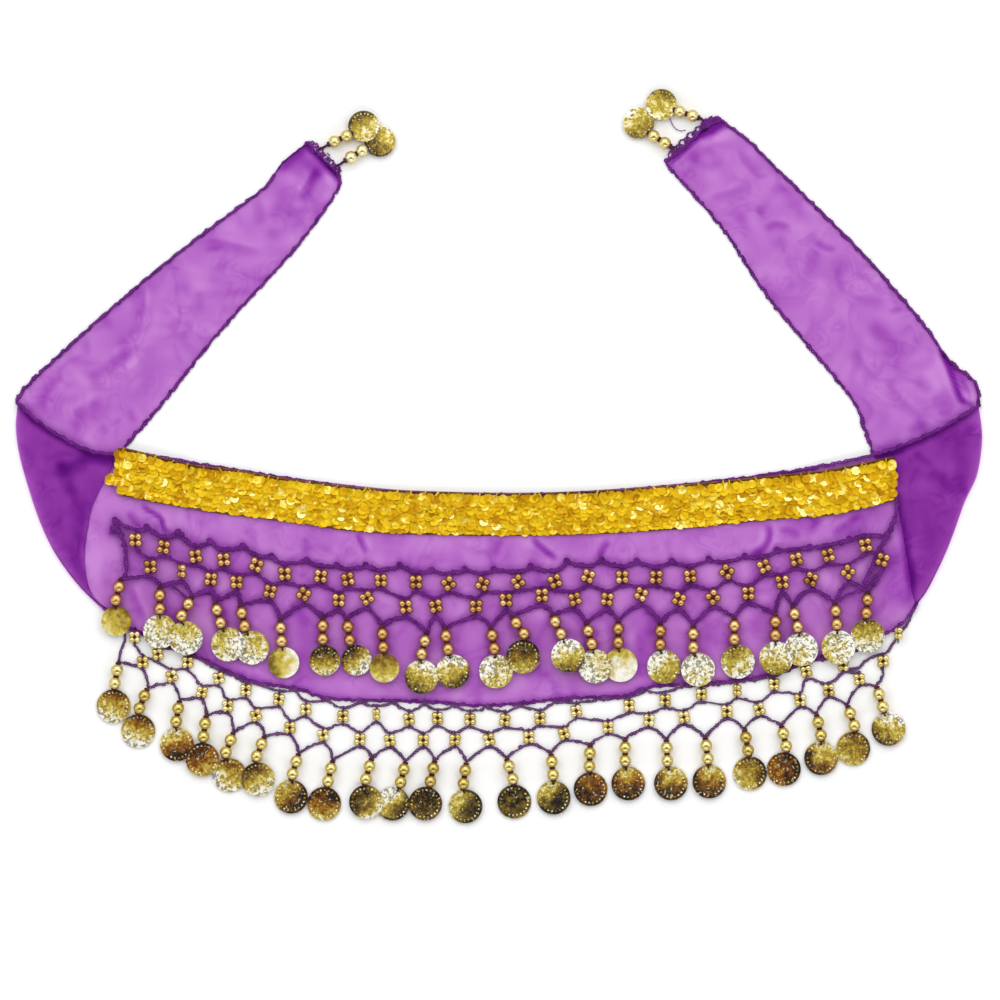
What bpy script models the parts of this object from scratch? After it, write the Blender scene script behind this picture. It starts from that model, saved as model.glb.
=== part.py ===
"""Coin hip scarf of chiffon, laid flat with both ties folded back behind its front panel.

One metre is one Blender unit.  +X runs to the scarf's longer right tie, +Y from the coin fringe to the
ends of the ties, and +Z up from the surface that the scarf rests on, which is at Z = 0.
The sizes and tables below are in millimetres, in the same directions.
"""
import math
from typing import NamedTuple

import bmesh
import bpy
from mathutils import Vector
from mathutils.bvhtree import BVHTree

MM = 0.001
CENTRE_SHIFT = Vector((0.158, -0.142))  # puts the middle of the whole outline at X = 0, Y = 0

# Walls and clearances
WALL = 1.0
GAP = 0.3
FOLD_RADIUS = WALL + GAP / 2
LIFT = WALL + GAP
BAND_THICK = 1.6
NET_THICK = 1.2

# Crocheted edging along every hem, centred on the hem line
EDGING_REACH = 1.2
CLOTH_INSET = EDGING_REACH + 0.1
EDGING_INNER = CLOTH_INSET - GAP

# Dangles: a thread with two beads and a coin
COIN_RADIUS = 9.3
COIN_THICK = 1.0
BEAD_RADIUS = 3.1
THREAD_RADIUS = 0.6
THREAD_TO_BEAD = 4.4
BEAD_PITCH = 7.3
BEAD_TO_COIN = 13.3
BEAD_TO_TIP_COIN = 12.1
BEAD_STATIONS = (-0.8, 0.0, 0.8)
COIN_ANGLES = (25.0, 55.0, 90.0, 125.0, 155.0, 175.0)

# Columns of the panel's grid: left of the nets, one for each hanging point, right of the nets
SIDE_COLUMNS = 5
LIFTED_COLUMNS = 1
RAMP_COLUMNS = 2


class Row(NamedTuple):
    """One line across the panel: where it meets the folds, as parts of their lengths, and its shape."""

    left_fold: float
    right_fold: float
    left_x: float
    right_x: float
    shape: tuple


class Hang(NamedTuple):
    """One dangle: where it hangs, how its beads and coin lean from straight down, and its coin's layer."""

    x: float
    y: float
    bead_lean: float
    coin_lean: float
    level: int


LEFT_FOLD = (
    (-264.6, 29.2), (-265.6, 15.4), (-263.5, 0.0), (-258.0, -19.8), (-251.9, -37.4), (-244.8, -52.3),
    (-235.4, -66.0), (-225.5, -77.0), (-215.6, -84.7))
RIGHT_FOLD = (
    (263.6, 28.0), (265.6, 10.0), (262.9, -9.9), (255.8, -25.9), (247.0, -50.0), (236.5, -72.0),
    (229.4, -82.0))

TOP_HEM = (
    (-264.6, 29.2), (-249.7, 16.5), (-224.0, 2.8), (-192.0, 0.3), (-142.0, -8.0), (-60.0, -18.2),
    (-5.0, -20.1), (44.0, -19.3), (105.0, -14.6), (154.0, -9.4), (205.0, 0.6), (241.0, 14.3),
    (263.6, 28.0))
BOTTOM_HEM = (
    (-215.6, -84.7), (-203.0, -95.2), (-166.0, -110.3), (-137.5, -123.2), (-110.0, -128.2),
    (-91.9, -133.4), (-40.7, -135.0), (-6.1, -137.2), (41.8, -133.1), (68.8, -132.0), (85.8, -126.8),
    (133.7, -123.2), (159.0, -116.6), (195.8, -104.5), (223.3, -94.6), (229.4, -82.0))

BAND_BOTTOM = Row(0.30, 0.28, -207.9, 215.6, (
    (-207.9, -20.9), (-154.6, -30.8), (-73.2, -41.3), (-5.0, -43.2), (51.2, -42.4), (105.0, -39.1),
    (182.0, -31.9), (215.6, -24.8)))
NET_TOP = Row(0.41, 0.42, -210.9, 212.9, (
    (-210.9, -33.0), (-141.0, -47.3), (-73.0, -57.8), (-2.8, -60.0), (75.9, -55.6), (152.9, -49.5),
    (212.9, -41.8)))
NET_BOTTOM_FOLDS = (0.74, 0.80)
BOTTOM_LEFT_X = -203.0
BOTTOM_RIGHT_X = 213.4
TOP_LEFT_X = -209.0
TOP_RIGHT_X = 215.0

UPPER_HANGS = (
    Hang(-207.6, -67.5, -13.0, 0.0, 0), Hang(-186.2, -72.0, 0.0, 0.0, 0),
    Hang(-168.4, -77.3, -30.0, 10.0, 1), Hang(-156.2, -80.2, 16.0, 19.0, 1),
    Hang(-142.3, -81.8, 13.0, 18.0, 0), Hang(-120.2, -89.9, 4.0, 5.0, 0),
    Hang(-96.8, -88.8, 0.0, 5.0, 1), Hang(-83.6, -89.4, 8.0, 18.0, 0),
    Hang(-64.4, -93.2, 4.0, 3.0, 1), Hang(-39.7, -97.2, -14.0, 0.0, 1),
    Hang(-29.8, -94.4, 9.0, 12.0, 0), Hang(-4.6, -94.1, 10.0, 4.0, 0),
    Hang(6.8, -88.0, 36.0, -2.0, 1), Hang(28.9, -87.0, 26.0, 18.0, 2),
    Hang(47.9, -91.7, 15.0, 9.0, 1), Hang(65.5, -90.5, 0.0, 6.0, 0),
    Hang(88.6, -91.6, 0.0, 9.0, 0), Hang(106.7, -93.2, 0.0, 12.0, 1),
    Hang(129.3, -88.8, 0.0, 9.0, 0), Hang(151.8, -86.6, 0.0, 2.0, 1),
    Hang(161.2, -82.3, 14.0, 9.0, 0), Hang(184.5, -80.6, 5.0, 4.0, 1),
    Hang(202.7, -74.5, -5.0, 4.0, 0))
LOWER_HANGS = (
    Hang(-209.0, -113.3, -10.0, -4.0, 0), Hang(-193.1, -127.6, -22.0, -4.0, 0),
    Hang(-175.5, -134.2, -9.0, 1.0, 0), Hang(-160.9, -142.5, -7.0, -3.0, 1),
    Hang(-145.8, -151.8, -21.0, 8.0, 0), Hang(-128.7, -154.0, -22.0, 3.0, 1),
    Hang(-110.0, -163.4, -17.0, -4.0, 0), Hang(-91.3, -167.2, -13.0, -10.0, 1),
    Hang(-69.9, -166.1, -16.0, 0.0, 1), Hang(-51.2, -167.8, -14.0, -20.0, 0),
    Hang(-35.2, -167.2, -12.0, -13.0, 1), Hang(-17.9, -168.3, -8.0, 5.0, 0),
    Hang(4.1, -166.1, 17.0, 4.0, 0), Hang(28.6, -163.4, 5.0, 2.0, 0),
    Hang(50.1, -158.7, -2.0, 3.0, 0), Hang(69.3, -155.7, 0.0, 8.0, 0),
    Hang(91.9, -155.7, 3.0, 9.0, 0), Hang(113.3, -154.6, 7.0, 4.0, 0),
    Hang(134.8, -150.2, 10.0, 5.0, 0), Hang(155.1, -148.0, 13.0, -5.0, 0),
    Hang(174.4, -141.9, 12.0, 1.0, 0), Hang(191.4, -137.0, 19.0, -2.0, 1),
    Hang(207.4, -126.5, 17.0, 15.0, 0))
LEFT_TIP_LEAD = 9.0
LEFT_TIP_HANGS = (Hang(-98.5, 168.9, 115.0, 120.0, 1), Hang(-89.1, 159.5, 121.0, 118.0, 0))
RIGHT_TIP_LEAD = 5.4
RIGHT_TIP_HANGS = (Hang(111.4, 185.2, -108.0, -112.0, 1), Hang(95.7, 169.1, -122.0, -131.0, 0))


class Tie(NamedTuple):
    """One tie, from the fold to its tip: its outer hem, its inner hem, and the inner hem's hidden start."""

    fold: tuple
    fold_start: float
    outer: tuple
    inner: tuple
    visible_from: float


LEFT_TIE = Tie(
    fold=LEFT_FOLD, fold_start=0.90,
    outer=((-264.3, 32.0), (-255.2, 42.9), (-215.8, 78.7), (-173.8, 113.6), (-133.7, 143.8),
           (-126.0, 150.5), (-119.5, 160.8), (-105.6, 171.9)),
    inner=((-222.6, -77.6), (-226.4, -68.5), (-227.7, -55.0), (-226.1, -40.7), (-221.7, -23.7),
           (-205.2, 5.2), (-188.8, 24.5), (-153.5, 68.5), (-111.8, 114.6), (-89.1, 145.8),
           (-88.0, 153.8)),
    visible_from=5.2)
RIGHT_TIE = Tie(
    fold=RIGHT_FOLD, fold_start=0.93,
    outer=((263.8, 31.0), (261.3, 41.0), (247.2, 52.8), (232.9, 72.9), (198.6, 112.5),
           (150.2, 160.3), (136.2, 174.2), (119.9, 185.9)),
    inner=((230.4, -74.0), (226.4, -66.0), (223.3, -50.0), (218.4, -25.9), (206.0, 1.0),
           (200.9, 14.9), (192.5, 33.4), (147.8, 87.8), (123.2, 124.9), (93.8, 158.5),
           (93.4, 163.0)),
    visible_from=1.0)
FOLD_RUNGS = 10
TIE_RUNGS = 17
RUNG_STATIONS = (0.0, 0.3, 0.6)

# Nets: the lower one starts just outside the bottom edging
NET_MARGIN = EDGING_REACH + GAP
HEM_CLEARANCE = 3.2


def clear_scene():
    """Empty the scene, so that the script gives the same result wherever it is run."""
    for obj in list(bpy.data.objects):
        bpy.data.objects.remove(obj, do_unlink=True)
    for mesh in list(bpy.data.meshes):
        bpy.data.meshes.remove(mesh)


def make_finish(name, colour, roughness, metallic=0.0):
    """Return a Principled material."""
    material = bpy.data.materials.new(name)
    material.use_nodes = True
    shader = material.node_tree.nodes["Principled BSDF"]
    shader.inputs["Base Color"].default_value = (*colour, 1.0)
    shader.inputs["Roughness"].default_value = roughness
    shader.inputs["Metallic"].default_value = metallic
    return material


def vectors(points):
    """Turn pairs of numbers into vectors."""
    return [Vector(point) for point in points]


def smooth_line(points, steps=24):
    """Return a dense Catmull-Rom curve through the points."""
    knots = vectors(points)
    ends = [2 * knots[0] - knots[1]] + knots + [2 * knots[-1] - knots[-2]]
    line = []
    for index in range(len(knots) - 1):
        before, start, stop, after = ends[index:index + 4]
        for step in range(steps):
            t = step / steps
            line.append(0.5 * (2 * start + (stop - before) * t
                               + (2 * before - 5 * start + 4 * stop - after) * t ** 2
                               + (3 * start - before - 3 * stop + after) * t ** 3))
    line.append(knots[-1])
    return line


def line_length(line):
    """Return the length of a line of points."""
    return sum((b - a).length for a, b in zip(line, line[1:]))


def at_part(line, part):
    """Return the point at a part, 0 to 1, of a line's length."""
    left = part * line_length(line)
    for a, b in zip(line, line[1:]):
        step = (b - a).length
        if left <= step and step > 0:
            return a.lerp(b, left / step)
        left -= step
    return line[-1].copy()


def evenly(line, count):
    """Return count + 1 points evenly spaced along a line."""
    return [at_part(line, index / count) for index in range(count + 1)]


def split_at_x(line, x):
    """Cut a line that runs towards +X in two where it crosses x."""
    cut = next(index for index, point in enumerate(line) if point.x >= x)
    a, b = line[cut - 1], line[cut]
    middle = a.lerp(b, (x - a.x) / (b.x - a.x))
    return line[:cut] + [middle], [middle] + line[cut:]


def offset(line, distance):
    """Move a line to its left by a distance, with mitred corners."""
    moved = []
    for index, point in enumerate(line):
        before = line[max(index - 1, 0)]
        after = line[min(index + 1, len(line) - 1)]
        incoming = (point - before) if index else (after - point)
        outgoing = (after - point) if index < len(line) - 1 else incoming
        first = Vector((-incoming.y, incoming.x)).normalized()
        second = Vector((-outgoing.y, outgoing.x)).normalized()
        mitre = (first + second).normalized()
        moved.append(point + mitre * (distance / max(mitre.dot(first), 0.5)))
    return moved


def new_object(name, material, vertices, faces, smooth_angle=None):
    """Make a closed object from points in millimetres, with its faces turned outward."""
    mesh = bpy.data.meshes.new(name)
    shell = bmesh.new()
    corners = [shell.verts.new((Vector(v) + CENTRE_SHIFT.to_3d()) * MM) for v in vertices]
    for face in faces:
        shell.faces.new([corners[index] for index in face])
    bmesh.ops.recalc_face_normals(shell, faces=shell.faces)
    bmesh.ops.triangulate(shell, faces=shell.faces, quad_method="FIXED")
    shell.to_mesh(mesh)
    shell.free()
    mesh.materials.append(material)
    if smooth_angle is not None:
        mesh.shade_smooth()
        mesh.set_sharp_from_angle(angle=math.radians(smooth_angle))
    obj = bpy.data.objects.new(name, mesh)
    bpy.context.scene.collection.objects.link(obj)
    return obj


def loft(name, material, rings, smooth_angle=None):
    """Join rings of equal point counts into a tube with flat ends."""
    sides = len(rings[0])
    faces = [tuple(range(sides)), tuple(range((len(rings) - 1) * sides, len(rings) * sides))]
    for ring in range(len(rings) - 1):
        for side in range(sides):
            following = (side + 1) % sides
            faces.append((ring * sides + side, ring * sides + following,
                          (ring + 1) * sides + following, (ring + 1) * sides + side))
    return new_object(name, material, [point for ring in rings for point in ring], faces, smooth_angle)


def slab(name, material, rows, floors, thickness):
    """Make a sheet from rows of plan points; each column has its own height above the ground."""
    columns = len(rows[0])
    top_start = len(rows) * columns
    low = [(p.x, p.y, floors[c]) for row in rows for c, p in enumerate(row)]
    high = [(x, y, z + thickness) for x, y, z in low]
    faces = []
    for row in range(len(rows) - 1):
        for column in range(columns - 1):
            a = row * columns + column
            quad = (a, a + 1, a + columns + 1, a + columns)
            faces.append(quad)
            faces.append(tuple(top_start + index for index in quad))
    rim = list(range(columns))
    rim += [row * columns + columns - 1 for row in range(1, len(rows))]
    rim += [(len(rows) - 1) * columns + c for c in range(columns - 2, -1, -1)]
    rim += [row * columns for row in range(len(rows) - 2, 0, -1)]
    for a, b in zip(rim, rim[1:] + rim[:1]):
        faces.append((a, b, top_start + b, top_start + a))
    return new_object(name, material, low + high, faces)


def fold_point(fold, part):
    """Return the panel's edge point at a part of a fold, just inside the cloth that turns round it."""
    inset = FOLD_RADIUS + GAP
    line = smooth_line(fold)
    point = at_part(line, part)
    ahead = at_part(line, min(part + 0.02, 1.0)) - at_part(line, max(part - 0.02, 0.0))
    inward = Vector((-ahead.y, ahead.x)).normalized()
    if inward.x * point.x > 0:
        inward = -inward
    return point + inward * inset


def panel_row(row):
    """Sample a line across the panel at every column, from one fold to the other."""
    line = smooth_line((fold_point(LEFT_FOLD, row.left_fold), *row.shape,
                        fold_point(RIGHT_FOLD, row.right_fold)))
    left, rest = split_at_x(line, row.left_x)
    middle, right = split_at_x(rest, row.right_x)
    inner = evenly(middle, len(UPPER_HANGS) - 1)
    return evenly(left, SIDE_COLUMNS)[:-1] + inner + evenly(right, SIDE_COLUMNS)[1:]


def hem_columns(hem, left_x, right_x):
    """Sample a hem line of the panel at every column, clear of the cloth that turns round the folds."""
    line = smooth_line(hem)
    while (line[0] - Vector(hem[0])).length < HEM_CLEARANCE:
        line.pop(0)
    while (line[-1] - Vector(hem[-1])).length < HEM_CLEARANCE:
        line.pop()
    left, rest = split_at_x(line, left_x)
    middle, right = split_at_x(rest, right_x)
    inner = evenly(middle, len(UPPER_HANGS) - 1)
    return evenly(left, SIDE_COLUMNS)[:-1] + inner + evenly(right, SIDE_COLUMNS)[1:]


def net_bottom_row():
    """Return the panel's line through the points that the upper dangles hang from."""
    hangs = [Vector((hang.x, hang.y)) for hang in UPPER_HANGS]
    left = smooth_line((fold_point(LEFT_FOLD, NET_BOTTOM_FOLDS[0]), hangs[0]))
    right = smooth_line((hangs[-1], fold_point(RIGHT_FOLD, NET_BOTTOM_FOLDS[1])))
    return evenly(left, SIDE_COLUMNS)[:-1] + hangs + evenly(right, SIDE_COLUMNS)[1:]


def between(first, second, part):
    """Return the row part of the way from one row to another."""
    return [a.lerp(b, part) for a, b in zip(first, second)]


def column_floors():
    """Return the panel's height at each column: raised over the ties, down on the ground between them."""
    count = 2 * SIDE_COLUMNS + len(UPPER_HANGS)
    floors = []
    for column in range(count):
        from_side = min(column, count - 1 - column) - SIDE_COLUMNS - LIFTED_COLUMNS
        part = min(max(from_side / RAMP_COLUMNS, 0.0), 1.0)
        floors.append(LIFT * (1.0 - part * part * (3.0 - 2.0 * part)))
    return floors


def middle_columns(values):
    """Keep only the columns that the band and the nets cover."""
    return values[SIDE_COLUMNS:len(values) - SIDE_COLUMNS]


def build_panel_and_trim(cloth, sequins, thread):
    """Build the front panel, and the band, net and edgings that are made from its points."""
    floors = column_floors()
    top_hem = hem_columns(TOP_HEM, TOP_LEFT_X, TOP_RIGHT_X)
    bottom_hem = hem_columns(BOTTOM_HEM, BOTTOM_LEFT_X, BOTTOM_RIGHT_X)
    top = offset(top_hem, -CLOTH_INSET)
    band_bottom = panel_row(BAND_BOTTOM)
    net_top = panel_row(NET_TOP)
    net_bottom = net_bottom_row()
    bottom = offset(bottom_hem, CLOTH_INSET)
    band_rows = [top, between(top, band_bottom, 0.5), band_bottom]
    net_rows = [net_top, between(net_top, net_bottom, 0.5), net_bottom]
    lower_rows = [between(net_bottom, bottom, part / 3) for part in (1, 2)] + [bottom]
    panel = slab("front_panel", cloth, band_rows + net_rows + lower_rows, floors, WALL)

    on_panel = middle_columns([height + WALL + GAP for height in floors])
    slab("sequin_band", sequins, [middle_columns(row) for row in band_rows], on_panel, BAND_THICK)
    slab("upper_net", thread, [middle_columns(row) for row in net_rows], on_panel, NET_THICK)
    top_edging = slab("edging_top", thread,
                      [offset(top_hem, EDGING_REACH), offset(top_hem, -EDGING_INNER)], floors, WALL)
    bottom_edging = slab("edging_bottom", thread,
                         [offset(bottom_hem, EDGING_INNER), offset(bottom_hem, -EDGING_REACH)],
                         floors, WALL)

    net_start = middle_columns(offset(bottom_hem, -NET_MARGIN))
    net_end = [Vector((hang.x, hang.y)) for hang in LOWER_HANGS]
    lower_net = slab("lower_net", thread,
                     [net_start, between(net_start, net_end, 0.5), net_end],
                     [0.0] * len(net_end), NET_THICK)
    return panel, top_edging, bottom_edging, lower_net


def bend_section(inner, outer, turned):
    """Return a ring across a tie; where it is turned, the outer side rolls up and back over itself."""
    across = (outer - inner).normalized()
    width = (outer - inner).length

    def place(distance, height):
        point = inner + across * distance
        return (point.x, point.y, height)

    if turned:
        centre = width - FOLD_RADIUS
        arc = [(centre + FOLD_RADIUS * math.sin(math.radians(angle)),
                FOLD_RADIUS - FOLD_RADIUS * math.cos(math.radians(angle)))
               for angle in (30, 60, 90, 120, 150, 180)]
        lip = [(centre, WALL + GAP), (centre + GAP / 2, WALL + GAP / 2), (centre, WALL)]
    else:
        centre = width - FOLD_RADIUS
        arc = [(width, WALL * part) for part in (0.0, 0.2, 0.4, 0.6, 0.8, 1.0)]
        lip = [(width - part * FOLD_RADIUS, WALL) for part in (0.25, 0.5, 1.0)]
    flat = [centre * part for part in RUNG_STATIONS]
    return ([place(distance, 0.0) for distance in flat + [centre]]
            + [place(*point) for point in arc + lip]
            + [place(distance, WALL) for distance in reversed(flat)])


def build_tie(side, tie, cloth, thread):
    """Build one tie with the cloth that turns round its fold, and the edging on its hems."""
    fold = smooth_line(tie.fold)
    inner_hem = smooth_line(tie.inner)
    hidden = [point for point in inner_hem if point.y < tie.visible_from]
    shown = [hidden[-1]] + inner_hem[len(hidden):]
    outer_route = evenly(smooth_line(tie.outer), TIE_RUNGS)
    inner_route = evenly(hidden, FOLD_RUNGS) + evenly(shown, TIE_RUNGS)[1:]
    route = outer_route + inner_route[::-1]
    inward = 1.0 if side == "left" else -1.0

    cloth_edge = offset(route, -inward * CLOTH_INSET)
    outer_edge = cloth_edge[:TIE_RUNGS + 1]
    inner_edge = cloth_edge[:TIE_RUNGS:-1]
    rings = []
    for rung in range(FOLD_RUNGS):
        part = 1.0 - rung / (FOLD_RUNGS - 1)
        rings.append(bend_section(inner_edge[rung], at_part(fold, tie.fold_start * part), True))
    for rung in range(TIE_RUNGS + 1):
        rings.append(bend_section(inner_edge[FOLD_RUNGS + rung], outer_edge[rung], False))
    loft(f"tie_{side}", cloth, rings)
    slab(f"edging_tie_{side}", thread,
         [offset(route, inward * EDGING_REACH), offset(route, -inward * EDGING_INNER)],
         [0.0] * len(route), WALL)


def strand_ring(centre, across, half_width, half_height, corner):
    """Return one six-sided ring across a strand."""
    shape = ((1.0, 0.0), (corner, 1.0), (-corner, 1.0), (-1.0, 0.0), (-corner, -1.0), (corner, -1.0))
    return [(centre.x + across.x * half_width * u, centre.y + across.y * half_width * u,
             centre.z + half_height * v) for u, v in shape]


def lean_direction(degrees):
    """Return the direction that leans by an angle from straight down towards +X."""
    angle = math.radians(degrees)
    return Vector((math.sin(angle), -math.cos(angle)))


def strand_plan(hang, lead, reach):
    """Return the plan points of a dangle: its start, two beads and coin, and its two directions."""
    start = Vector((hang.x, hang.y))
    down = lean_direction(hang.bead_lean)
    first = start + down * lead
    second = first + down * BEAD_PITCH
    swing = lean_direction(hang.coin_lean)
    return start, first, second, second + swing * reach, down, swing


def build_dangle(name, hang, lead, reach, below, finish):
    """Build a dangle as one body, thread, bead, bead and coin, lying on what is below it."""
    start, first, second, coin, down, swing = strand_plan(hang, lead, reach)
    across = Vector((-down.y, down.x))
    bead_height = resting_height(below, (first, second), BEAD_RADIUS) + BEAD_RADIUS
    round_corner = 0.5
    rings = [strand_ring((start + down * (THREAD_RADIUS + GAP)).to_3d() + Vector((0, 0, bead_height)),
                         across, THREAD_RADIUS, THREAD_RADIUS, round_corner)]
    for bead in (first, second):
        for station in BEAD_STATIONS:
            radius = BEAD_RADIUS * math.sqrt(1.0 - station * station)
            centre = (bead + down * BEAD_RADIUS * station).to_3d() + Vector((0, 0, bead_height))
            rings.append(strand_ring(centre, across, radius, radius, round_corner))
    across = Vector((-swing.y, swing.x))
    coin_height = resting_height(below, (coin,), COIN_RADIUS) + COIN_THICK / 2
    neck = second + swing * (BEAD_RADIUS + 0.6)
    rings.append(strand_ring(neck.to_3d() + Vector((0, 0, (bead_height + coin_height) / 2)),
                             across, THREAD_RADIUS, THREAD_RADIUS, round_corner))
    for angle in COIN_ANGLES:
        along = -COIN_RADIUS * math.cos(math.radians(angle))
        half_width = COIN_RADIUS * math.sin(math.radians(angle))
        centre = (coin + swing * along).to_3d() + Vector((0, 0, coin_height))
        rings.append(strand_ring(centre, across, half_width, COIN_THICK / 2, 0.85))
    return loft(name, finish, rings, smooth_angle=40)


def resting_height(below, centres, radius):
    """Return the height on which round pieces rest, a gap above all that is below them."""
    spots = list(centres)
    for centre in centres:
        for turn in range(24):
            spoke = lean_direction(360.0 * turn / 24)
            spots += [centre + spoke * radius * part for part in (1.0, 0.8, 0.4)]
    height = 0.0
    for spot in spots:
        above = ((spot + CENTRE_SHIFT).to_3d() + Vector((0.0, 0.0, 50.0))) * MM
        for tree in below:
            hit = tree.ray_cast(above, Vector((0.0, 0.0, -1.0)))[0]
            if hit is not None:
                height = max(height, hit.z / MM + GAP)
    return height


def build_fringe(prefix, hangs, lead, reach, below, finish):
    """Build a row of dangles, the lowest coins first, each resting on what is there already."""
    laid = list(below)
    numbered = sorted(enumerate(hangs, 1), key=lambda pair: pair[1].level)
    for number, hang in numbered:
        laid.append(tree_of(build_dangle(f"{prefix}_{number:02d}", hang, lead, reach, laid, finish)))


def tree_of(obj):
    """Return a ray-casting tree of an object's mesh."""
    vertices = [vertex.co for vertex in obj.data.vertices]
    return BVHTree.FromPolygons(vertices, [tuple(face.vertices) for face in obj.data.polygons])


def main():
    """Build every piece of the scarf."""
    clear_scene()
    cloth = make_finish("chiffon", (0.36, 0.06, 0.46), 0.7)
    thread = make_finish("crochet_thread", (0.12, 0.01, 0.18), 0.8)
    sequins = make_finish("gold_sequins", (0.80, 0.45, 0.02), 0.25, 1.0)
    coins = make_finish("gold_coins", (0.70, 0.55, 0.20), 0.25, 1.0)

    build_tie("left", LEFT_TIE, cloth, thread)
    build_tie("right", RIGHT_TIE, cloth, thread)
    panel, top_edging, bottom_edging, lower_net = build_panel_and_trim(cloth, sequins, thread)

    below = [tree_of(obj) for obj in (panel, top_edging, bottom_edging, lower_net)]
    build_fringe("dangle_upper", UPPER_HANGS, THREAD_TO_BEAD, BEAD_TO_COIN, below, coins)
    build_fringe("dangle_lower", LOWER_HANGS, THREAD_TO_BEAD, BEAD_TO_COIN, (), coins)
    build_fringe("dangle_tip_left", LEFT_TIP_HANGS, LEFT_TIP_LEAD, BEAD_TO_TIP_COIN, (), coins)
    build_fringe("dangle_tip_right", RIGHT_TIP_HANGS, RIGHT_TIP_LEAD, BEAD_TO_TIP_COIN, (), coins)


main()
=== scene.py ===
"""Visual model of a coin hip scarf of purple chiffon, laid flat with its ties folded back under it.

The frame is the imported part, in metres: +X to the right tie, +Y to the ends of the ties, +Z up.
Plan sizes are in millimetres in the same directions.  Stitch, crease and chain positions are in squares
of the scarf's drawing grid, counted right and down from the grid's corner.
"""
import logging
import math
from contextlib import contextmanager
from dataclasses import dataclass, field
from enum import Enum
from typing import Callable, Iterator, NamedTuple, Sequence

import bmesh
import bpy
import numpy as np
from mathutils import Matrix, Vector
from mathutils.kdtree import KDTree


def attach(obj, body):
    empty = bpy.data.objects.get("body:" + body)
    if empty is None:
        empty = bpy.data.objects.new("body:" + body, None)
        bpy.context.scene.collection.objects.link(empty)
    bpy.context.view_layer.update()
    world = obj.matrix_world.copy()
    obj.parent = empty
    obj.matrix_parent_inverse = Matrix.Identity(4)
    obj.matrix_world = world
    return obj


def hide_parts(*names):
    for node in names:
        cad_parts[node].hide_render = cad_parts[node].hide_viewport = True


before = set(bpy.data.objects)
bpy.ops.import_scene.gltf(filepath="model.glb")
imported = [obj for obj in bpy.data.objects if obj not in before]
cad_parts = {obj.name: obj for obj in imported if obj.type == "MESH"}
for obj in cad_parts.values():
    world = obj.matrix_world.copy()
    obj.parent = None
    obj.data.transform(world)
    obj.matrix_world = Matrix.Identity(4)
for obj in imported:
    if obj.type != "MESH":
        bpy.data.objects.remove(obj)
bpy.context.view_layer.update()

LOG = logging.getLogger("hip_scarf")

MM = 0.001
CENTRE_SHIFT = np.array((0.158, -0.142))
SQUARE = 0.55
GRID_ZERO = np.array((499.0, 456.0))
UP = np.array((0.0, 0.0, 1.0))

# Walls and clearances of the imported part, in millimetres
WALL = 1.0
GAP = 0.3
LIFT = WALL + GAP
CLOTH_MIDDLE = WALL / 2
BEND_RADIUS = (WALL + GAP) / 2

COIN_RADIUS = 9.3
BEAD_RADIUS = 3.1

Points = np.ndarray
Outline = Sequence[Sequence[float]]
Colour = tuple[float, float, float]
Piece = bpy.types.Object
Material = bpy.types.Material
Socket = bpy.types.NodeSocket


# ---- Lines in plan ----

def from_grid(points: Outline) -> Points:
    """Turn positions on the drawing grid into millimetres in plan."""
    squares = np.asarray(points, float)
    return (squares - GRID_ZERO) * (SQUARE, -SQUARE)


def smooth_line(points: Outline, steps: int = 24) -> Points:
    """Return a dense Catmull-Rom curve through points in the plane or in space.

    Args:
        points: the points that the curve passes through.
        steps: how many points it has for each stretch.

    Returns:
        The curve's points, one row each.
    """
    knots = np.asarray(points, float)
    ends = np.vstack([2 * knots[0] - knots[1], knots, 2 * knots[-1] - knots[-2]])
    t = (np.arange(steps) / steps)[:, None]
    line = []
    for index in range(len(knots) - 1):
        before, start, stop, after = ends[index:index + 4]
        line.append(0.5 * (2 * start + (stop - before) * t
                           + (2 * before - 5 * start + 4 * stop - after) * t ** 2
                           + (3 * start - before - 3 * stop + after) * t ** 3))
    return np.vstack([*line, knots[-1:]])


def travelled(line: Points) -> np.ndarray:
    """Return how far along a line each of its points is."""
    steps = np.linalg.norm(np.diff(line, axis=0), axis=1)
    return np.concatenate([[0.0], np.cumsum(steps)])


def at_parts(line: Points, parts: np.ndarray) -> Points:
    """Return the points at parts, 0 to 1, of a line's length."""
    way = travelled(line)
    return np.column_stack([np.interp(parts * way[-1], way, column) for column in line.T])


def evenly(line: Points, count: int) -> Points:
    """Return count + 1 points evenly spaced along a line."""
    return at_parts(line, np.linspace(0.0, 1.0, count + 1))


def unit(vectors: Points) -> Points:
    """Return vectors, one a row, each made 1 long."""
    return vectors / np.maximum(np.linalg.norm(vectors, axis=1, keepdims=True), 1e-9)


def directions(line: Points) -> Points:
    """Return the unit direction of travel at each point of a line."""
    return unit(np.gradient(line, axis=0))


def leftward(line: Points) -> Points:
    """Return the unit vector to the left of travel at each point of a plan line."""
    ahead = directions(line)
    return np.column_stack([-ahead[:, 1], ahead[:, 0]])


def on_height(plan: Points, heights: np.ndarray) -> Points:
    """Return plan points with their heights, three numbers a point."""
    return np.column_stack([plan, heights])


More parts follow.
